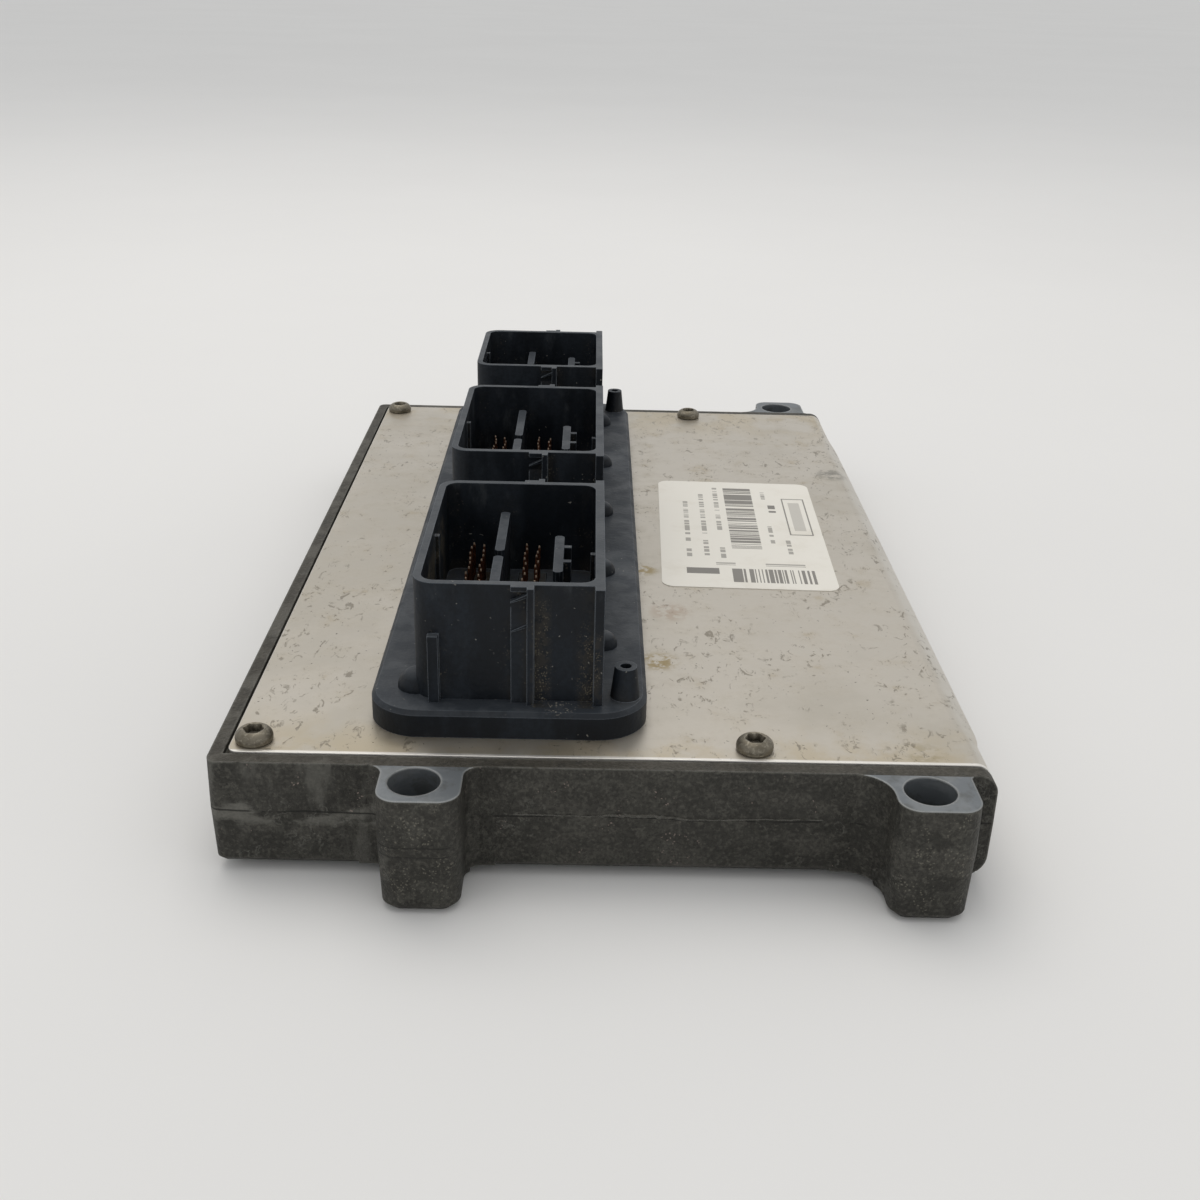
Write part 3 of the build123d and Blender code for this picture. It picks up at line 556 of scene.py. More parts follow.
@dataclass(frozen=True)
class GlassFilledNylon(Finish):
    """Moulded glass-filled nylon: blue-black, slightly chalky, with dusty corners, rubbed edges with a
    painted highlight, and painted light on its upward faces, which on the inserts is dust instead.
    """

    base: str = "#10151b"
    film: str = "#1f252c"
    # Colour of the upward faces: painted top light on the header, dust on the pin blocks.
    top_dust_and_light: str = "#3a3f45"

    def shade(self, paint: Paint) -> Inputs:
        """Makes the chalky film, the painted top light, the rubbed edges with their painted highlight, the
        dust and the grit.

        Args:
            paint: The material's paint.

        Returns:
            The shader's inputs.
        """
        upright = paint.drawn_out(1.0, 1.0, 0.35)
        film = upright.blotches(9, 0.42, 0.62)
        # The fibres' real texture is finer than a pixel, so it is drawn as coarse as it needs to show.
        fibres = paint.blotches(1.1, 0.4, 0.62, 3)
        dust = paint.times(paint.crevices(5.0, 0.88, 0.55), paint.blotches(5.0, 0.44, 0.56))
        sheltered = paint.times(paint.crevices(7.0, 0.9, 0.6), paint.blotches(6, 0.48, 0.56))
        crumbs = paint.specks(0.8, 0.3, sheltered)
        lint = paint.specks(2.2, 0.1, paint.blotches(12, 0.46, 0.6))
        # Edges lightened partly by rubbing, partly as a painted highlight.
        edges = paint.times(paint.worn_and_lit_edges(0.35), paint.blotches(2.5, 0.2, 0.42))
        # Upward faces: painted top light on the header, lightest on its rim top; dust on the pin blocks.
        top_dust_and_light = paint.facing("Z", 0.6, 0.95)
        rim_top_light = paint.times(top_dust_and_light, paint.band("Z", 56.5, 60.0))
        chalk = paint.times(upright.blotches(5, 0.52, 0.66, 7), paint.blotches(20, 0.42, 0.6))
        by_tall_rib, by_corner_rib = [
            paint.times(paint.band("X", left, right, soft), paint.band("Z", 32, top, 4))
            for left, right, soft, top in ((-14.8, -12.6, 1.4, 52), (-5.0, -2.2, 1.6, 47))]
        grit_area = paint.times(
            paint.band("Y", -109.6, -106.5),
            paint.out("Math", {0: by_tall_rib, 1: by_corner_rib}, operation="MAXIMUM"))
        grit_bed = paint.times(grit_area, paint.blotches(2.4, 0.42, 0.56))
        grit = paint.specks(0.45, 0.4, paint.times(grit_area, paint.blotches(2.2, 0.47, 0.56)))
        spill = paint.specks(0.6, 0.36, paint.times(top_dust_and_light, paint.patch((-9.5, -109.6, 32.2), 4.5, 1.2)))
        caked = paint.times(
            paint.band("X", -38.6, -37.4), paint.band("Z", 37, 52, 4), paint.band("Y", -98, -60, 6),
            paint.blotches(6, 0.44, 0.54), paint.blotches(1.0, 0.35, 0.55))
        colour = paint.laid_over(self.base, [
            (self.film, film, 0.8),
            ("#0b0e12", fibres, 0.3),
            # Painted top light on the header's upward faces, patchy, and on its rim top; dust on the pin
            # blocks' tops.
            (self.top_dust_and_light, top_dust_and_light, 0.85),
            ("#54585c", top_dust_and_light, paint.blotches(11, 0.48, 0.62), 0.5),
            ("#4a4e52", rim_top_light, 0.5),
            ("#4b4f52", chalk, 0.35),
            ("#3d3a34", dust, 0.45),
            ("#625c51", crumbs, 0.7),
            ("#33302b", grit_bed, 0.6),
            ("#666052", grit, 0.75),
            ("#5c5547", caked, 0.6),
            ("#b9b3a6", spill, 0.9),
            ("#8f8d86", lint, 0.7),
            # Rubbed edges with a painted highlight.
            ("#737a82", edges, 0.85),
        ])
        rough = paint.out("MapRange", {"Value": film, "To Min": 0.45, "To Max": 0.6})
        normal = paint.relief(fibres, 0.05, 0.4, 0.3)
        return {"Base Color": colour, "Roughness": rough, "IOR": 1.5, "Specular IOR Level": 0.22,
                "Normal": normal}


@dataclass(frozen=True)
class TarnishedBronze(Finish):
    """Copper-alloy pins: red-brown tarnish below, rubbed bright at the tips."""

    tip: float

    def shade(self, paint: Paint) -> Inputs:
        """Makes the tarnish and the bright tips.

        Args:
            paint: The material's paint.

        Returns:
            The shader's inputs.
        """
        bright = paint.out("MapRange", {
            "Value": paint.axis("Z"), "From Min": (self.tip - 0.6) * MM, "From Max": (self.tip - 0.25) * MM})
        tarnish = paint.blotches(1.5, 0.4, 0.6)
        colour = paint.laid_over("#7a4f39", [("#4a2f22", tarnish, 0.7), ("#dcc4ae", bright)])
        return {"Base Color": colour, "Metallic": 0.85, "Roughness": 0.42}


@dataclass(frozen=True)
class WeatheredSteel(Finish):
    """Zinc-plated steel gone dull: grey-brown with painted shade in its hollows and rubbed edges."""

    def shade(self, paint: Paint) -> Inputs:
        """Makes the dull film, the painted shade in the hollows and the rubbed edges.

        Args:
            paint: The material's paint.

        Returns:
            The shader's inputs.
        """
        film = paint.blotches(2.2, 0.4, 0.65)
        colour = paint.laid_over("#7b7568", [
            ("#5d574b", film, 0.6),
            ("#a39d8f", paint.blotches(0.8, 0.52, 0.62), 0.5),
            # Painted shade: near-black in the hollows, such as the sockets of the screw heads.
            ("#191612", paint.crevices(1.8, 0.85, 0.45), 0.95),
            ("#b5b0a3", paint.worn_and_lit_edges(0.3), 0.6),
        ])
        bump = paint.out("Bump", {"Height": film, "Distance": 0.05 * MM, "Strength": 0.5})
        return {"Base Color": colour, "Metallic": 0.8, "Roughness": 0.46, "Normal": bump}


@dataclass(frozen=True)
class LabelPaper(Finish):
    """Off-white label paper with plain grey bars, dashes and a frame, slightly soiled."""

    centre: Point
    turn: float

    def shade(self, paint: Paint) -> Inputs:
        """Makes the bars, the dashes, the frame and the soiling.

        Args:
            paint: The material's paint.

        Returns:
            The shader's inputs.
        """
        sheet = Paint(paint.tree, paint.out(
            "Mapping", {"Vector": paint.where, "Location": self.centre, "Rotation": (0, 0, self.turn)},
            vector_type="TEXTURE"))
        frame = (
            (13.7, 14.1, -2.4, 27.0), (20.0, 20.4, -2.4, 27.0), (14.1, 20.0, -2.4, -1.8),
            (14.1, 20.0, 26.4, 27.0))
        dashes = (
            (-15.8, -14.4, -20, -14), (-15.8, -14.4, -9, 24), (-11.0, -9.6, -19, -8), (-11.0, -9.6, -3, 29),
            (-6.6, -5.2, -21, -13), (-6.6, -5.2, 0, 12), (-6.6, -5.2, 15, 35), (7.8, 9.0, -9, 4),
            (7.8, 9.0, 26, 33), (12.0, 13.3, -17, -4), (-8.2, -3.0, -25.4, -23.6), (5.0, 15.6, -25.4, -23.6))
        bold = ((9.2, 11.3, 8, 23), (-16.2, -7.6, -32.2, -27.6))
        layers = [("#d3cdbf", paint.blotches(12, 0.5, 0.75), 0.4)]
        for colour, strength, axes, step, share, fields in (
                ("#55524e", 0.8, "XY", 0.42, 0.62, ((-3.3, 5.0, -13.8, 35.0),)),
                ("#55524e", 0.8, "YX", 0.3, 0.56, ((-36.5, -27.6, -4.6, 17.6),)),
                ("#55524e", 0.8, "XY", 1.0, 1.0, frame), ("#5a5753", 0.6, "XY", 0.5, 0.62, dashes),
                ("#4b4845", 0.8, "XY", 1.5, 0.7, bold),
                ("#5a5753", 0.35, "XY", 1.0, 1.0, ((15.4, 18.7, 1.0, 23.6),))):
            layers += [(colour, self.printed(sheet, axes, field, step, share), strength) for field in fields]
        return {"Base Color": paint.laid_over("#e6e3da", layers), "Roughness": 0.55, "IOR": 1.45}

    def printed(self, sheet: Paint, axes: str, field: tuple[float, ...], step: float, share: float) -> Socket:
        """Makes a mask of bars of random widths in a rectangular field.

        Args:
            sheet: Paint on the label's own coordinates.
            axes: The axis along the bars, then the one on which they follow one another.
            field: Lowest and highest on the first axis, then on the second, in millimetres.
            step: Width of the narrowest bar in millimetres.
            share: Share of the field that is printed.

        Returns:
            The mask.
        """
        across, along = [sheet.axis(axis) for axis in axes]
        low, high, first, last = [value * MM for value in field]
        inside = [
            sheet.out("Math", {0: place, 1: (start + end) / 2, 2: (end - start) / 2}, operation="COMPARE")
            for place, start, end in ((across, low, high), (along, first, last))]
        cell = sheet.out("Math", {0: along, 1: step * MM}, operation="SNAP")
        picked = sheet.out("TexWhiteNoise", {"W": cell}, "Value", noise_dimensions="1D")
        bar = sheet.out("Math", {0: picked, 1: share}, operation="LESS_THAN")
        return sheet.times(bar, *inside)


class PlainLook(Enum):
    """Finishes of the pieces inside the closed case: base colour, second colour, metallic, roughness."""

    RUBBER = ("nitrile_rubber", "#191919", "#262624", 0.0, 0.7)
    LAMINATE = ("solder_masked_laminate", "#1d4a2a", "#265a35", 0.0, 0.4)
    EPOXY = ("moulded_epoxy", "#1a1a1b", "#29292a", 0.0, 0.5)
    PAD = ("silicone_pad", "#7e8a95", "#8f9ba5", 0.0, 0.8)
    FERRITE = ("sintered_ferrite", "#2c2c2e", "#3a3a3c", 0.0, 0.6)
    CERAMIC = ("fired_ceramic", "#8a6d49", "#9a7d58", 0.0, 0.5)
    CAN = ("drawn_aluminium", "#b9babd", "#a5a6aa", 1.0, 0.3)
    CRYSTAL = ("nickel_plated_steel", "#a9a9ab", "#96969a", 1.0, 0.25)


@dataclass(frozen=True)
class PlainFinish(Finish):
    """Even finish with a faint mottle, for what the closed case hides."""

    look: PlainLook

    def shade(self, paint: Paint) -> Inputs:
        """Makes the mottle.

        Args:
            paint: The material's paint.

        Returns:
            The shader's inputs.
        """
        _, base, second, metallic, rough = self.look.value
        mottled = paint.laid_over(base, [(second, paint.blotches(2.0, 0.4, 0.6))])
        return {"Base Color": mottled, "Metallic": metallic, "Roughness": rough}


@dataclass(frozen=True)
class PaleGround(Finish):
    """Matt white ground of the studio."""

    def shade(self, paint: Paint) -> Inputs:
        """Makes a very faint unevenness in the white and returns the shader's inputs."""
        colour = paint.laid_over("#e7e7e6", [("#e9e9e8", paint.blotches(400, 0.3, 0.7))])
        return {"Base Color": colour, "Roughness": 0.9, "Specular IOR Level": 0.1}


def dress(piece: Piece, finish: Finish) -> None:
    """Gives every material slot of a piece one finish.

    Args:
        piece: The piece.
        finish: Its finish.
    """
    if not piece.material_slots:
        piece.data.materials.append(None)
    for slot in piece.material_slots:
        slot.material = finish.material()


def built_piece(name: str, shells: list[list[list[Point]]]) -> Piece:
    """Builds a piece from closed shells, with its faces pointing outwards.

    Args:
        name: The piece's name.
        shells: Rings of points in millimetres for each shell, which gets faces from each ring to the
            next and across both ends. A last ring may be a single point.

    Returns:
        The piece, linked into the scene.
    """
    mesh = bmesh.new()
    for rings in shells:
        loops = [[mesh.verts.new(Vector(point) * MM) for point in ring] for ring in rings]
        for lower, upper in zip(loops, loops[1:]):
            for index, corner in enumerate(lower):
                following = (index + 1) % len(lower)
                corners = (corner, lower[following], upper[following % len(upper)], upper[index % len(upper)])
                mesh.faces.new(list(dict.fromkeys(corners)))
        for loop in (loops[0], loops[-1]):
            if len(loop) > 2:
                mesh.faces.new(loop)
    bmesh.ops.recalc_face_normals(mesh, faces=mesh.faces)
    data = bpy.data.meshes.new(name)
    mesh.to_mesh(data)
    mesh.free()
    data.shade_smooth()
    data.set_sharp_from_angle(angle=SHARP_ANGLE)
    piece = bpy.data.objects.new(name, data)
    bpy.context.scene.collection.objects.link(piece)
    return piece


def copies_tree() -> tuple[Tree, dict[str, str]]:
    """Builds the Geometry Nodes tree that stands a turned and scaled copy of a master on each point.

    Returns:
        The tree, which ends in real geometry with its material, and each input's key by its name.
    """
    tree = bpy.data.node_groups.new("copies_on_points", "GeometryNodeTree")
    for way in ("INPUT", "OUTPUT"):
        tree.interface.new_socket(name="Geometry", in_out=way, socket_type="NodeSocketGeometry")
    keys = {
        label: tree.interface.new_socket(
            name=label, in_out="INPUT", socket_type="NodeSocket" + kind).identifier
        for label, kind in (
            ("Master", "Object"), ("Least Turn", "Vector"), ("Most Turn", "Vector"), ("Size", "Float"),
            ("Seed", "Int"), ("Material", "Material"))}
    given = add_node(tree, "NodeGroupInput").outputs
    master = add_node(tree, "GeometryNodeObjectInfo", {"Object": given["Master"]})
    turn = add_node(tree, "FunctionNodeRandomValue", {
        "Min": given["Least Turn"], "Max": given["Most Turn"], "Seed": given["Seed"]},
        data_type="FLOAT_VECTOR")
    copies = add_node(tree, "GeometryNodeInstanceOnPoints", {
        "Points": given["Geometry"], "Instance": master.outputs["Geometry"], "Rotation": turn.outputs[0],
        "Scale": given["Size"]})
    real = add_node(tree, "GeometryNodeRealizeInstances", {"Geometry": copies.outputs[0]})
    dressed = add_node(tree, "GeometryNodeSetMaterial", {
        "Geometry": real.outputs[0], "Material": given["Material"]})
    add_node(tree, "NodeGroupOutput", {"Geometry": dressed.outputs[0]})
    return tree, keys


def set_out(name: str, master: Piece, points: list[Point], finish: Finish, seed: int = 0,
            turns: tuple[Point, Point] = ((0, 0, 0), (0, 0, 0)), size: float = 1.0) -> Piece:
    """Stands copies of a master on points and keeps them as one plain mesh.

    Args:
        name: The new piece's name.
        master: What is copied.
        points: Where the copies stand, in millimetres.
        finish: The copies' finish.
        seed: Seed of their random turns.
        turns: Least and most turn about X, Y and Z in radians.
        size: Scale of the copies.

    Returns:
        The new piece, with no modifier left.
    """
    mesh = bpy.data.meshes.new(name)
    mesh.from_pydata([tuple(Vector(point) * MM) for point in points], [], [])
    piece = bpy.data.objects.new(name, mesh)
    bpy.context.scene.collection.objects.link(piece)
    modifier = piece.modifiers.new("copies", "NODES")
    modifier.node_group, keys = copies_tree()
    for label, value in (
            ("Master", master), ("Least Turn", turns[0]), ("Most Turn", turns[1]), ("Size", size),
            ("Seed", seed), ("Material", finish.material())):
        modifier[keys[label]] = value
    bpy.context.view_layer.update()
    evaluated = piece.evaluated_get(bpy.context.evaluated_depsgraph_get())
    grown = bpy.data.meshes.new_from_object(evaluated)
    piece.modifiers.remove(modifier)
    piece.data = grown
    grown.name = name
    return piece


@dataclass
class Studio:
    """Pale ground, soft light and the photograph's camera."""

    focal_px: float = 1396.0
    picture_px: float = 1200.0
    sensor_mm: float = 36.0
    eye: Point = (-4.96, -361.13, 170.90)
    pitch: float = math.radians(24.43)
    yaw: float = math.radians(0.70)
    roll: float = math.radians(1.46)
    clip_m: tuple[float, float] = (0.01, 200.0)
    ground_m: float = 60.0
    room_strength: float = 0.72
    lamp_w: float = 4.6
    lamp_m: float = 1.0
    lamp_at_m: Point = (-0.15, 0.35, 1.15)

    def build(self) -> None:
        """Makes the ground, the lamp, the world and the camera."""
        self.make_ground()
        self.make_light()
        self.make_camera()
        bpy.context.scene.view_settings.view_transform = "Standard"

    def make_ground(self) -> None:
        """Makes the ground plane."""
        half = self.ground_m / 2
        mesh = bpy.data.meshes.new("ground")
        corners = [(-half, -half, 0), (half, -half, 0), (half, half, 0), (-half, half, 0)]
        mesh.from_pydata(corners, [], [(0, 1, 2, 3)])
        ground = bpy.data.objects.new("ground", mesh)
        bpy.context.scene.collection.objects.link(ground)
        dress(ground, PaleGround("matt_white_ground"))

    def make_light(self) -> None:
        """Makes an even world and one wide lamp above and behind the unit."""
        world = bpy.data.worlds.new("soft_room")
        world.use_nodes = True
        background = world.node_tree.nodes["Background"]
        background.inputs["Color"].default_value = linear("#fcfcfc")
        background.inputs["Strength"].default_value = self.room_strength
        bpy.context.scene.world = world
        lamp = bpy.data.lights.new("overhead_panel", "AREA")
        lamp.shape = "SQUARE"
        lamp.size = self.lamp_m
        lamp.energy = self.lamp_w
        lamp.color = linear("#fffaf4")[:3]
        holder = bpy.data.objects.new("overhead_panel", lamp)
        holder.location = self.lamp_at_m
        holder.rotation_euler = (Vector((0, 0, 0)) - holder.location).to_track_quat("-Z", "Y").to_euler()
        bpy.context.scene.collection.objects.link(holder)

    def make_camera(self) -> None:
        """Sets the camera where the photograph was taken from."""
        data = bpy.data.cameras.new("photo_camera")
        data.sensor_width = self.sensor_mm
        data.lens = self.focal_px / self.picture_px * self.sensor_mm
        data.clip_start, data.clip_end = self.clip_m
        camera = bpy.data.objects.new("photo_camera", data)
        place = Matrix.Translation(Vector(self.eye) * MM)
        for angle, axis in ((-self.yaw, "Z"), (math.pi / 2 - self.pitch, "X"), (self.roll, "Z")):
            place @= Matrix.Rotation(angle, 4, axis)
        camera.matrix_world = place
        bpy.context.scene.collection.objects.link(camera)
        bpy.context.scene.camera = camera


@dataclass
class Casing:
    """Die-cast tray and its sheet cover."""

    nodes: dict[str, Piece]
    parting: float = 15.0
    wall_end: float = 123.5
    flash_x: tuple[float, float] = (-18.0, 44.0)
    flash_steps: int = 160
    flash_reach: float = 0.22
    flash_root: float = 0.3
    flash_seed: int = 7
    burst_x: float = 8.0
    burst_width: float = 8.5

    def build(self) -> None:
        """Dresses the tray, the cover and the seal and adds the flash along the tray's parting line."""
        low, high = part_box("housing")
        cast = DieCastAluminium(
            "oxidised_die_cast_aluminium", top=high[2] / MM, parting=self.parting, end=self.wall_end + 0.1)
        dress(self.nodes["housing"], cast)
        self.add_flash(cast)
        sheet_low, sheet_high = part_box("cover_plate")
        dress(self.nodes["cover_plate"], SheetAluminium(
            "mill_finish_sheet_aluminium", near_edge=sheet_low[1] / MM, far_edge=sheet_high[1] / MM))
        dress(self.nodes["cover_seal"], PlainFinish("nitrile_rubber", PlainLook.RUBBER))
        LOG.info("casing: tray, cover and seal dressed, %.1f mm high", (high[2] - low[2]) / MM)

    def add_flash(self, finish: Finish) -> None:
        """Adds the ragged ridge of flash on the near wall, highest a little left of its middle.

        Args:
            finish: The tray's finish.
        """
        draw = random.Random(self.flash_seed)
        first, last = self.flash_x
        root = self.flash_root - self.wall_end
        rings = []
        drift = 0.0
        for step in range(self.flash_steps + 1):
            x = first + (last - first) * step / self.flash_steps
            burst = math.exp(-((x - self.burst_x) / self.burst_width) ** 2)
            drift = 0.86 * drift + draw.uniform(-0.12, 0.12)
            level = self.parting + drift * (0.5 + 1.5 * burst) + 0.9 * burst - 0.25 * math.sin(x / 9)
            reach = self.flash_reach * (0.35 + draw.uniform(0.0, 0.5) + 1.6 * burst * draw.uniform(0.5, 1.0))
            half = 0.22 + 0.45 * burst * draw.uniform(0.5, 1.0)
            rings.append([
                (x, root, level - half), (x, -self.wall_end - reach, level - 0.3 * half),
                (x, -self.wall_end - 0.8 * reach, level + 0.4 * half), (x, root, level + half)])
        piece = built_piece("parting_line_flash", [rings])
        dress(piece, finish)
        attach(piece, "root")
        LOG.info("parting line flash: %d faces", len(piece.data.polygons))


@dataclass
class CoverScrews:
    """Pan-head screws with a six-lobed socket, at the cover's corners."""

    places: Pairs = ((-71.3, -114.9), (-71.3, 114.9), (30.3, -114.9), (30.3, 114.9))
    seat: float = 26.4
    head_r: float = 3.85
    head_height: float = 2.7
    shoulder: Pairs = ((1.05, 0.22), (0.55, 0.6), (0.23, 0.98), (0.05, 1.38), (0.0, 1.8))
    socket_r: float = 2.05
    lobe: float = 0.34
    socket_depth: float = 1.7
    rim_r: float = 2.3
    shank_r: float = 2.0
    shank_length: float = 9.0
    point: float = 0.8
    around: int = 48
    seed: int = 4

    def build(self) -> None:
        """Makes one screw, sets it at each place and lets the result stand for the CAD screws."""
        master = self.make_master()
        piece = set_out(
            "cover_screw_set", master, [(x, y, self.seat) for x, y in self.places],
            WeatheredSteel("zinc_plated_steel"), self.seed, ((0, 0, 0), (0, 0, 2 * math.pi)))
        bpy.data.objects.remove(master)
        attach(piece, "root")
        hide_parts("cover_screws")
        LOG.info("cover screws: %d set, %d faces", len(self.places), len(piece.data.polygons))

    def profile(self) -> list[Point]:
        """Lists the rings from the socket's floor out over the head to the shank's tip.

        Returns:
            Radius and height in millimetres, and the share by which the six lobes shape the ring.
        """
        top = self.head_height
        return [
            (0.6, top - self.socket_depth - 0.25, 0.0), (self.socket_r - 0.25, top - self.socket_depth, 1.0),
            (self.socket_r, top - 0.3, 1.0), (self.socket_r + 0.08, top - 0.08, 0.7), (self.rim_r, top, 0.0),
            *[(self.head_r - inwards, top - drop, 0.0) for inwards, drop in self.shoulder],
            (self.head_r - 0.05, 0.3, 0.0), (self.head_r - 0.35, 0.0, 0.0), (self.shank_r, 0.0, 0.0),
            (self.shank_r, self.point - self.shank_length, 0.0),
            (self.shank_r - self.point, -self.shank_length, 0.0)]

    def make_master(self) -> Piece:
        """Makes one screw.

        Returns:
            The screw, its seat at the origin.
        """
        rings = []
        for radius, height, lobed in self.profile():
            ring = []
            for index in range(self.around):
                angle = 2 * math.pi * index / self.around
                reach = radius - lobed * self.lobe * (0.5 - 0.5 * math.cos(6 * angle))
                ring.append((reach * math.cos(angle), reach * math.sin(angle), height))
            rings.append(ring)
        return built_piece("cover_screw_master", [rings])


@dataclass
class PinBays:
    """Square pins of the three bays, in two pairs of rows a bay."""

    fronts: tuple[float, ...] = (-106.95, -23.7, 59.55)
    lengths: tuple[float, ...] = (60.8, 60.8, 45.1)
    long_rows: tuple[int, ...] = (18, 18, 13)
    names: tuple[str, ...] = ("near", "middle", "far")
    middle_x: float = -24.0
    pair_spacing: float = 12.8
    row_spacing: float = 2.85
    pitch: float = 3.0
    size: float = 0.64
    corner: float = 0.07
    foot: float = 17.4
    tip: float = 44.6
    taper: float = 1.0
    point: float = 0.25
    lean: float = math.radians(0.7)
    first_seed: int = 11

    def build(self) -> None:
        """Makes each bay's pins, a hair out of line, and lets them stand for the CAD pins."""
        master = self.make_master()
        copper = TarnishedBronze("tarnished_copper_alloy", tip=self.tip)
        turns = ((-self.lean, -self.lean, 0), (self.lean, self.lean, 0))
        for seed, (name, front, length, count) in enumerate(
                zip(self.names, self.fronts, self.lengths, self.long_rows), self.first_seed):
            points = self.places(front + length / 2, count)
            piece = set_out(name + "_bay_pin_rows", master, points, copper, seed, turns)
            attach(piece, "root")
            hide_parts(name + "_bay_pins")
            LOG.info("%s bay: %d pins, %d faces", name, len(points), len(piece.data.polygons))
        bpy.data.objects.remove(master)

    def places(self, middle_y: float, count: int) -> list[Point]:
        """Lists where the pins of one bay stand.

        Args:
            middle_y: Middle of the bay along Y in millimetres.
            count: Pins in the longer row of a pair.

        Returns:
            One point a pin, in millimetres.
        """
        points = []
        for pair in (-1, 1):
            for row, pins in ((-1, count), (1, count - 1)):
                x = self.middle_x + pair * self.pair_spacing / 2 + row * self.row_spacing / 2
                first = middle_y - (pins - 1) / 2 * self.pitch
                points += [(x, first + index * self.pitch, self.foot) for index in range(pins)]
        return points

    def make_master(self) -> Piece:
        """Makes one pin with softened edges and a tapered tip.

        Returns:
            The pin, standing on the origin.
        """
        height = self.tip - self.foot
        rings = []
        for share, level in (
                (1.0, 0.0), (1.0, height - self.taper), (0.62, height - self.point), (0.4, height)):
            reach, cut = share * self.size / 2, share * self.corner
            ring = []
            for quarter in range(4):
                for x, y in ((reach - cut, reach), (reach, reach - cut)):
                    for _ in range(quarter):
                        x, y = y, -x
                    ring.append((x, y, level))
            rings.append(ring)
        return built_piece("pin_master", [rings])


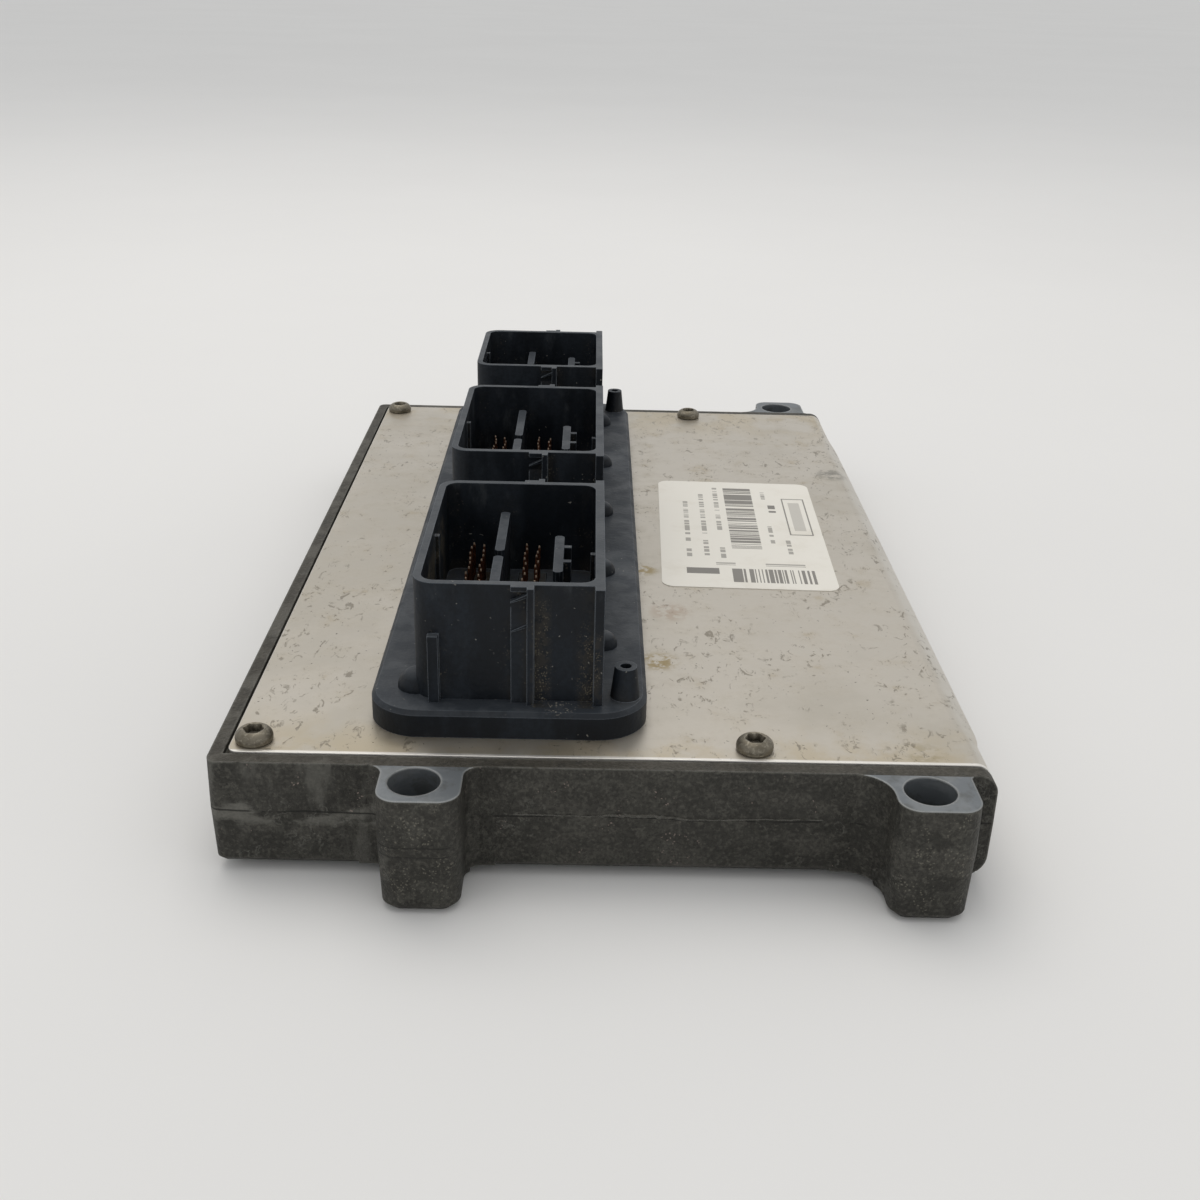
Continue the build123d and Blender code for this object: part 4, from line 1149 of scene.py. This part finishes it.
@dataclass
class Header:
    """Moulded header, its pin blocks and the seal under its flange."""

    nodes: dict[str, Piece]
    flange_top: float = 32.25
    shroud_right: float = -0.8
    domes_y: tuple[float, ...] = (-80.05, -38.6, 2.85, 44.3, 85.75)
    dome_r: float = 3.42
    corner_dome_at: tuple[float, float] = (-39.7, -100.95)
    corner_dome_r: float = 4.12
    dome_skirt: float = 0.5
    dome_faces: tuple[int, int] = (32, 8)
    faces_y: Pairs = ((-106.95, -1), (-46.15, 1), (-23.7, -1), (37.1, 1), (59.55, -1), (104.65, 1))
    ridge_x: tuple[float, float] = (-19.7, -16.45)
    ridge_z: tuple[float, ...] = (54.9, 48.4)
    ridge_rise: float = 1.9
    ridge_thickness: float = 0.75
    ridge_root: float = 0.3
    ridge_reach: float = 1.35

    def build(self) -> None:
        """Adds the flange's domes and the lugs' slanting ridges, and dresses the moulded pieces."""
        nylon = GlassFilledNylon("glass_filled_nylon")
        insert = GlassFilledNylon(
            "glass_filled_nylon_insert", base="#25231f", film="#383329", top_dust_and_light="#3d3931")
        self.add_domes(nylon)
        self.add_ridges(nylon)
        dress(self.nodes["connector_header"], nylon)
        for bay in ("near", "middle", "far"):
            dress(self.nodes[bay + "_shroud"], nylon)
            dress(self.nodes[bay + "_pin_blocks"], insert)
        dress(self.nodes["header_seal"], PlainFinish("nitrile_rubber", PlainLook.RUBBER))
        dress(self.nodes["header_screws"], WeatheredSteel("zinc_plated_steel"))
        LOG.info("header, pin blocks and seal dressed")

    def add_domes(self, finish: Finish) -> None:
        """Sets the domes beside the shrouds and the larger one at the near left corner on the flange.

        Args:
            finish: The header's finish.
        """
        master = self.dome_master()
        rows = {
            "flange_side_domes": ([(self.shroud_right, y) for y in self.domes_y], self.dome_r),
            "flange_corner_dome": ([self.corner_dome_at], self.corner_dome_r)}
        for name, (places, radius) in rows.items():
            points = [(x, y, self.flange_top) for x, y in places]
            piece = set_out(name, master, points, finish, size=radius)
            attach(piece, "root")
            LOG.info("%s: %d set, %d faces", name, len(places), len(piece.data.polygons))
        bpy.data.objects.remove(master)

    def dome_master(self) -> Piece:
        """Makes a dome one millimetre in radius, with a short skirt under it.

        Returns:
            The dome, its foot at the origin.
        """
        around, up = self.dome_faces
        rises = [math.pi / 2 * step / up for step in range(up)]
        outline = [(1.0, -self.dome_skirt)] + [(math.cos(rise), math.sin(rise)) for rise in rises]
        angles = [2 * math.pi * index / around for index in range(around)]
        rings = [[(radius * math.cos(angle), radius * math.sin(angle), height) for angle in angles]
                 for radius, height in outline]
        return built_piece("dome_master", [rings + [[(0, 0, 1)]]])

    def add_ridges(self, finish: Finish) -> None:
        """Adds the two slanting ridges on the lug of each shroud's end faces.

        Args:
            finish: The header's finish.
        """
        left, right = self.ridge_x
        shells = []
        for face_y, outward in self.faces_y:
            for foot in self.ridge_z:
                outline = [
                    (left, foot), (right, foot + self.ridge_rise - self.ridge_thickness),
                    (right, foot + self.ridge_rise), (left, foot + self.ridge_thickness * 0.4)]
                shells.append([[(x, face_y + outward * reach, z) for x, z in outline]
                               for reach in (-self.ridge_root, self.ridge_reach)])
        piece = built_piece("shroud_lug_ridges", shells)
        dress(piece, finish)
        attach(piece, "root")
        LOG.info("lug ridges: %d faces", len(piece.data.polygons))


@dataclass
class Label:
    """Paper label on the cover, a little askew."""

    nodes: dict[str, Piece]
    turn: float = math.radians(-1.5)

    def build(self) -> None:
        """Dresses the label with plain bars, dashes and a frame."""
        low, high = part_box("label")
        centre = tuple((a + b) / 2 for a, b in zip(low, high))
        dress(self.nodes["label"], LabelPaper("coated_label_paper", centre=centre, turn=self.turn))
        LOG.info("label dressed")


@dataclass
class InnerPieces:
    """What the closed case hides: the board and what it carries."""

    nodes: dict[str, Piece]

    def build(self) -> None:
        """Dresses each inner piece."""
        looks = {
            PlainLook.LAMINATE: ("circuit_board",),
            PlainLook.EPOXY: (
                "microcontroller", "flash_memory", "driver_chips", "voltage_regulator", "power_transistors"),
            PlainLook.PAD: ("thermal_pads",),
            PlainLook.FERRITE: ("power_chokes",),
            PlainLook.CAN: ("electrolytic_capacitors",),
            PlainLook.CERAMIC: ("ceramic_capacitors",),
            PlainLook.CRYSTAL: ("quartz_crystal",),
        }
        for look, names in looks.items():
            for name in names:
                dress(self.nodes[name], PlainFinish(look.value[0], look))
        dress(self.nodes["board_screws"], WeatheredSteel("zinc_plated_steel"))
        LOG.info("inner pieces: %d kinds dressed", len(looks) + 1)


def main() -> None:
    """Builds the studio and the unit and reports each piece."""
    logging.basicConfig(level=logging.INFO, format="%(name)s: %(message)s")
    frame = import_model()
    nodes = frame["nodes"]
    Studio().build()
    Casing(nodes).build()
    Header(nodes).build()
    PinBays().build()
    CoverScrews().build()
    Label(nodes).build()
    InnerPieces(nodes).build()


if __name__ == "__main__":
    main()
